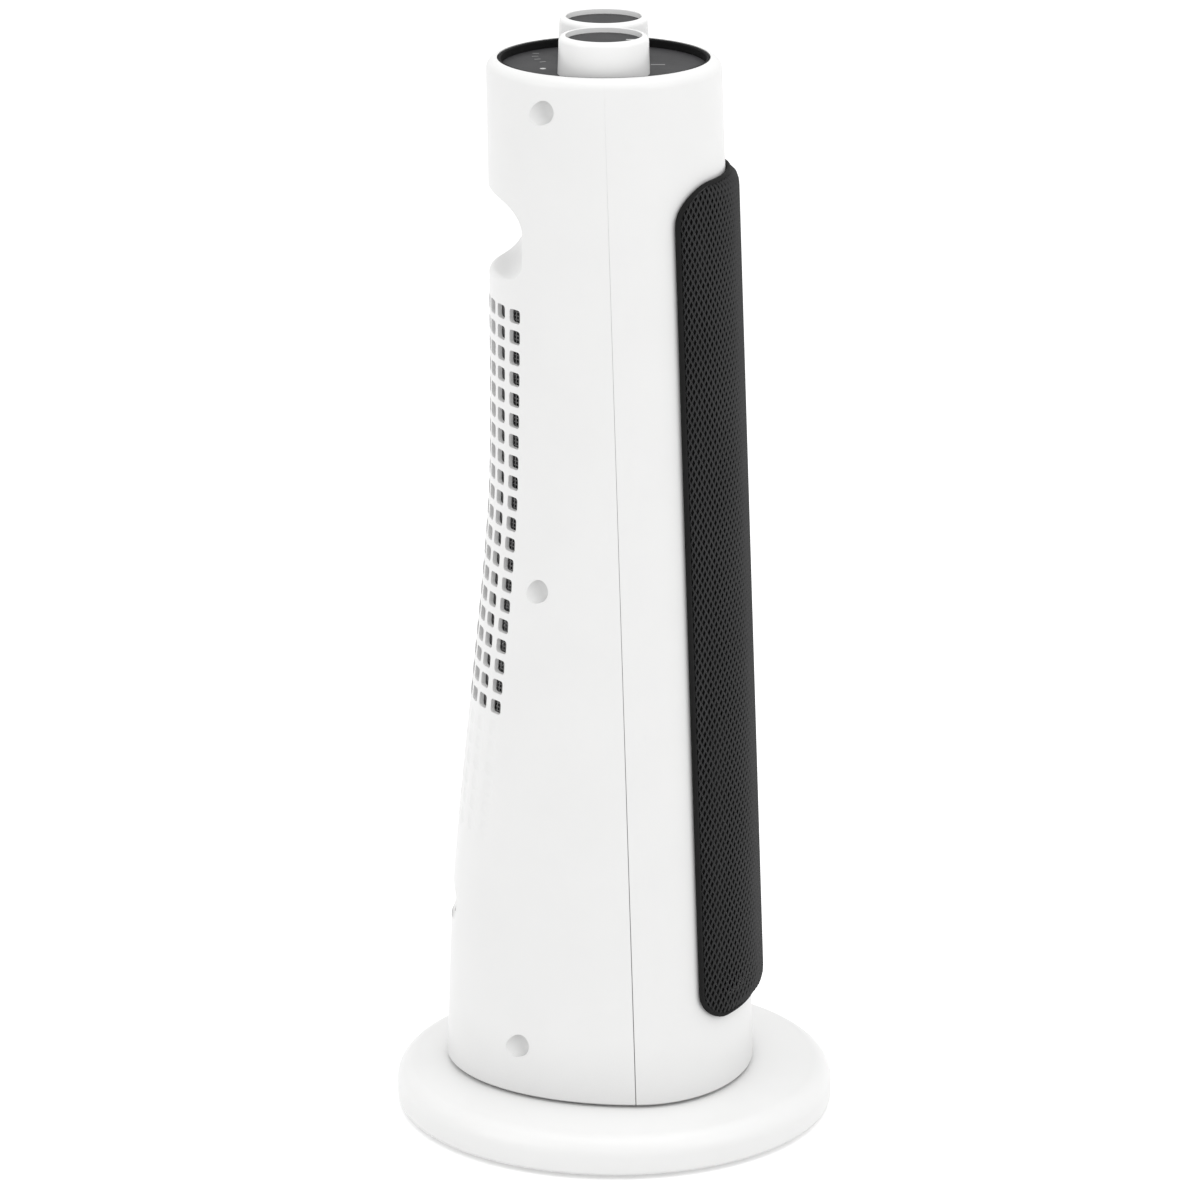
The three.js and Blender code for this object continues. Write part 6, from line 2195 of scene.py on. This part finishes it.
@dataclass(frozen=True)
class Insides:
    """Dresses the inner nodes, which keep their solids.

    Attributes:
        finishes: How the nodes' names start, with the finish. The first that fits counts.
    """

    finishes: tuple[tuple[str, str], ...] = (
        ("base_plate", "inner_white"),
        ("base_weight", "zinc"),
        ("glide_ring", "acetal"),
        ("swing_yoke", "acetal"),
        ("swing_crank", "acetal"),
        ("swing_motor", "zinc"),
        ("tip_switch", "duct_black"),
        ("tip_plunger", "inner_white"),
        ("tower_foot", "inner_white"),
        ("retaining_ring", "zinc"),
        ("ring_screw", "zinc"),
        ("control_bracket", "zinc"),
        ("mode_switch_shaft", "acetal"),
        ("mode_switch", "duct_black"),
        ("thermostat_shaft", "zinc"),
        ("thermostat", "duct_black"),
        ("air_duct", "duct_black"),
        ("bearing_plate", "duct_black"),
        ("bearing_bush", "rubber"),
        ("impeller", "duct_black"),
        ("heater_frame", "ceramic"),
        ("ptc_bar", "sheet_aluminium"),
        ("fin_pack", "sheet_aluminium"),
        ("thermal_cutout", "zinc"),
        ("thermal_fuse", "ceramic"),
        ("fan_motor_core", "core_sheets"),
        ("fan_motor_coil", "coil_wire"),
        ("fan_motor_rotor", "core_sheets"),
        ("fan_motor_shaft", "zinc"),
        ("motor_bracket", "zinc"),
        ("motor_screw", "zinc"),
    )

    def build(self, nodes: dict[str, Piece], materials: dict[str, Material]) -> None:
        """Give each inner node its finish.

        Args:
            nodes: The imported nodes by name.
            materials: The finishes by name.
        """
        for name, node in nodes.items():
            found = [finish for start, finish in self.finishes if name.startswith(start)]
            if found:
                node.data.materials.clear()
                node.data.materials.append(materials[found[0]])
                LOG.info("%s: %s", name, found[0])


# Studio


@dataclass
class Studio:
    """The white studio and the camera at the photograph's angle."""

    eye: tuple[float, float, float] = (-2.10437, 0.00596, 0.8616)
    down_deg: float = 17.06
    lens: float = 163.2
    sensor: float = 36.0
    floor_size: float = 12.0
    floor_colour: Colour = (0.8, 0.8, 0.8)
    floor_roughness: float = 0.9
    floor_glow: float = 0.45
    world_light: float = 0.8
    lamps: tuple[tuple[str, tuple[float, float, float], float, float], ...] = (
        ("overhead", (-0.2, -0.3, 2.4), 2.2, 15.6),
        ("front_side", (-1.4, -2.0, 1.3), 1.4, 9.4),
        ("rear_side", (-1.2, 2.2, 1.2), 1.4, 9.0),
    )
    aim: tuple[float, float, float] = (0.0, 0.0, 0.22)

    def build(self) -> None:
        """Set the camera, lamps, world and floor."""
        bpy.context.scene.view_settings.view_transform = "Standard"
        self._camera()
        for name, place, size, power in self.lamps:
            self._lamp(name, place, size, power)
        self._world()
        self._floor()

    def _camera(self) -> None:
        """Stand the camera where the photograph was taken from."""
        deselect_all()
        turn = (QUARTER - math.radians(self.down_deg), 0, -QUARTER)
        bpy.ops.object.camera_add(location=self.eye, rotation=turn)
        camera = bpy.context.object
        camera.data.lens = self.lens
        camera.data.sensor_width = self.sensor
        camera.data.clip_end = self.floor_size * 4
        bpy.context.scene.camera = camera

    def _lamp(self, name: str, place: Sequence[float], size: float, power: float) -> None:
        """Hang one soft square lamp that looks at the object.

        Args:
            name: Its name.
            place: Its place.
            size: The length of its side.
            power: Its power, in watts.
        """
        deselect_all()
        turn = (Vector(self.aim) - Vector(place)).to_track_quat("-Z", "Y").to_euler()
        bpy.ops.object.light_add(type="AREA", location=place, rotation=turn)
        lamp = bpy.context.object
        lamp.name = name
        lamp.data.size = size
        lamp.data.energy = power

    def _world(self) -> None:
        """Light evenly from all round, and show pure white behind the object."""
        world = bpy.data.worlds.new("studio")
        world.use_nodes = True
        tree = world.node_tree
        plain = tree.nodes["Background"]
        connect(tree, plain, {"Color": WHITE_LIGHT, "Strength": self.world_light})
        white = add_node(tree, "ShaderNodeBackground", {"Color": WHITE_LIGHT})
        outputs = [node.outputs["Background"] for node in (plain, white)]
        inputs = {"Fac": white_rays(tree), 1: outputs[0], 2: outputs[1]}
        mix = add_node(tree, "ShaderNodeMixShader", inputs)
        connect(tree, tree.nodes["World Output"], {"Surface": mix.outputs["Shader"]})
        bpy.context.scene.world = world

    def _floor(self) -> None:
        """Lay a floor that looks white where nothing shades it."""
        deselect_all()
        bpy.ops.mesh.primitive_plane_add(size=self.floor_size)
        floor = bpy.context.object
        floor.name = "floor"
        material = bpy.data.materials.new("floor_white")
        material.use_nodes = True
        tree = material.node_tree
        shader = tree.nodes["Principled BSDF"]
        surface = {"Base Color": (*self.floor_colour, 1), "Roughness": self.floor_roughness}
        connect(tree, shader, surface)
        plain = shader.outputs["BSDF"]
        glow = add_node(tree, "ShaderNodeEmission", {"Strength": self.floor_glow})
        both = add_node(tree, "ShaderNodeAddShader", {0: plain, 1: glow.outputs["Emission"]})
        inputs = {"Fac": white_rays(tree), 1: plain, 2: both.outputs["Shader"]}
        mix = add_node(tree, "ShaderNodeMixShader", inputs)
        connect(tree, tree.nodes["Material Output"], {"Surface": mix.outputs["Shader"]})
        floor.data.materials.append(material)


def main() -> None:
    """Build the dressed heater and its studio."""
    logging.basicConfig(level=logging.INFO, format="%(message)s")
    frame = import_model()
    Studio().build()
    materials = {finish.name: finish.build() for finish in FINISHES}
    white = materials["white_shell"]
    skin = TowerSkin()
    outline = GrilleOutline(skin)
    Insides().build(frame["nodes"], materials)
    shells = Shells(skin)
    shells.build(white, materials["hole_white"], outline)
    IntakeGauze(shells).build(materials["gauze_painted_shade"])
    Grille(outline).build(materials["grille_black"], materials["duct_black"])
    Base().build(materials["white_base"], materials["rubber"])
    panel = HeadPanel(skin.head_shift)
    for name, body, side, pointer_deg in (
        ("mode_knob", "mode_dial", -1, -92),
        ("thermostat_knob", "thermostat_dial", 1, 180),
    ):
        dial = Dial(name, body, side * panel.dial_x, panel.y, pointer_deg)
        dial.build(materials["white_dial"], materials["cap_grey"], materials["white_print"])
    panel.build(materials)
    ShellScrews(shells).build(white)
    CordGland(shells).build(white)


if __name__ == "__main__":
    main()
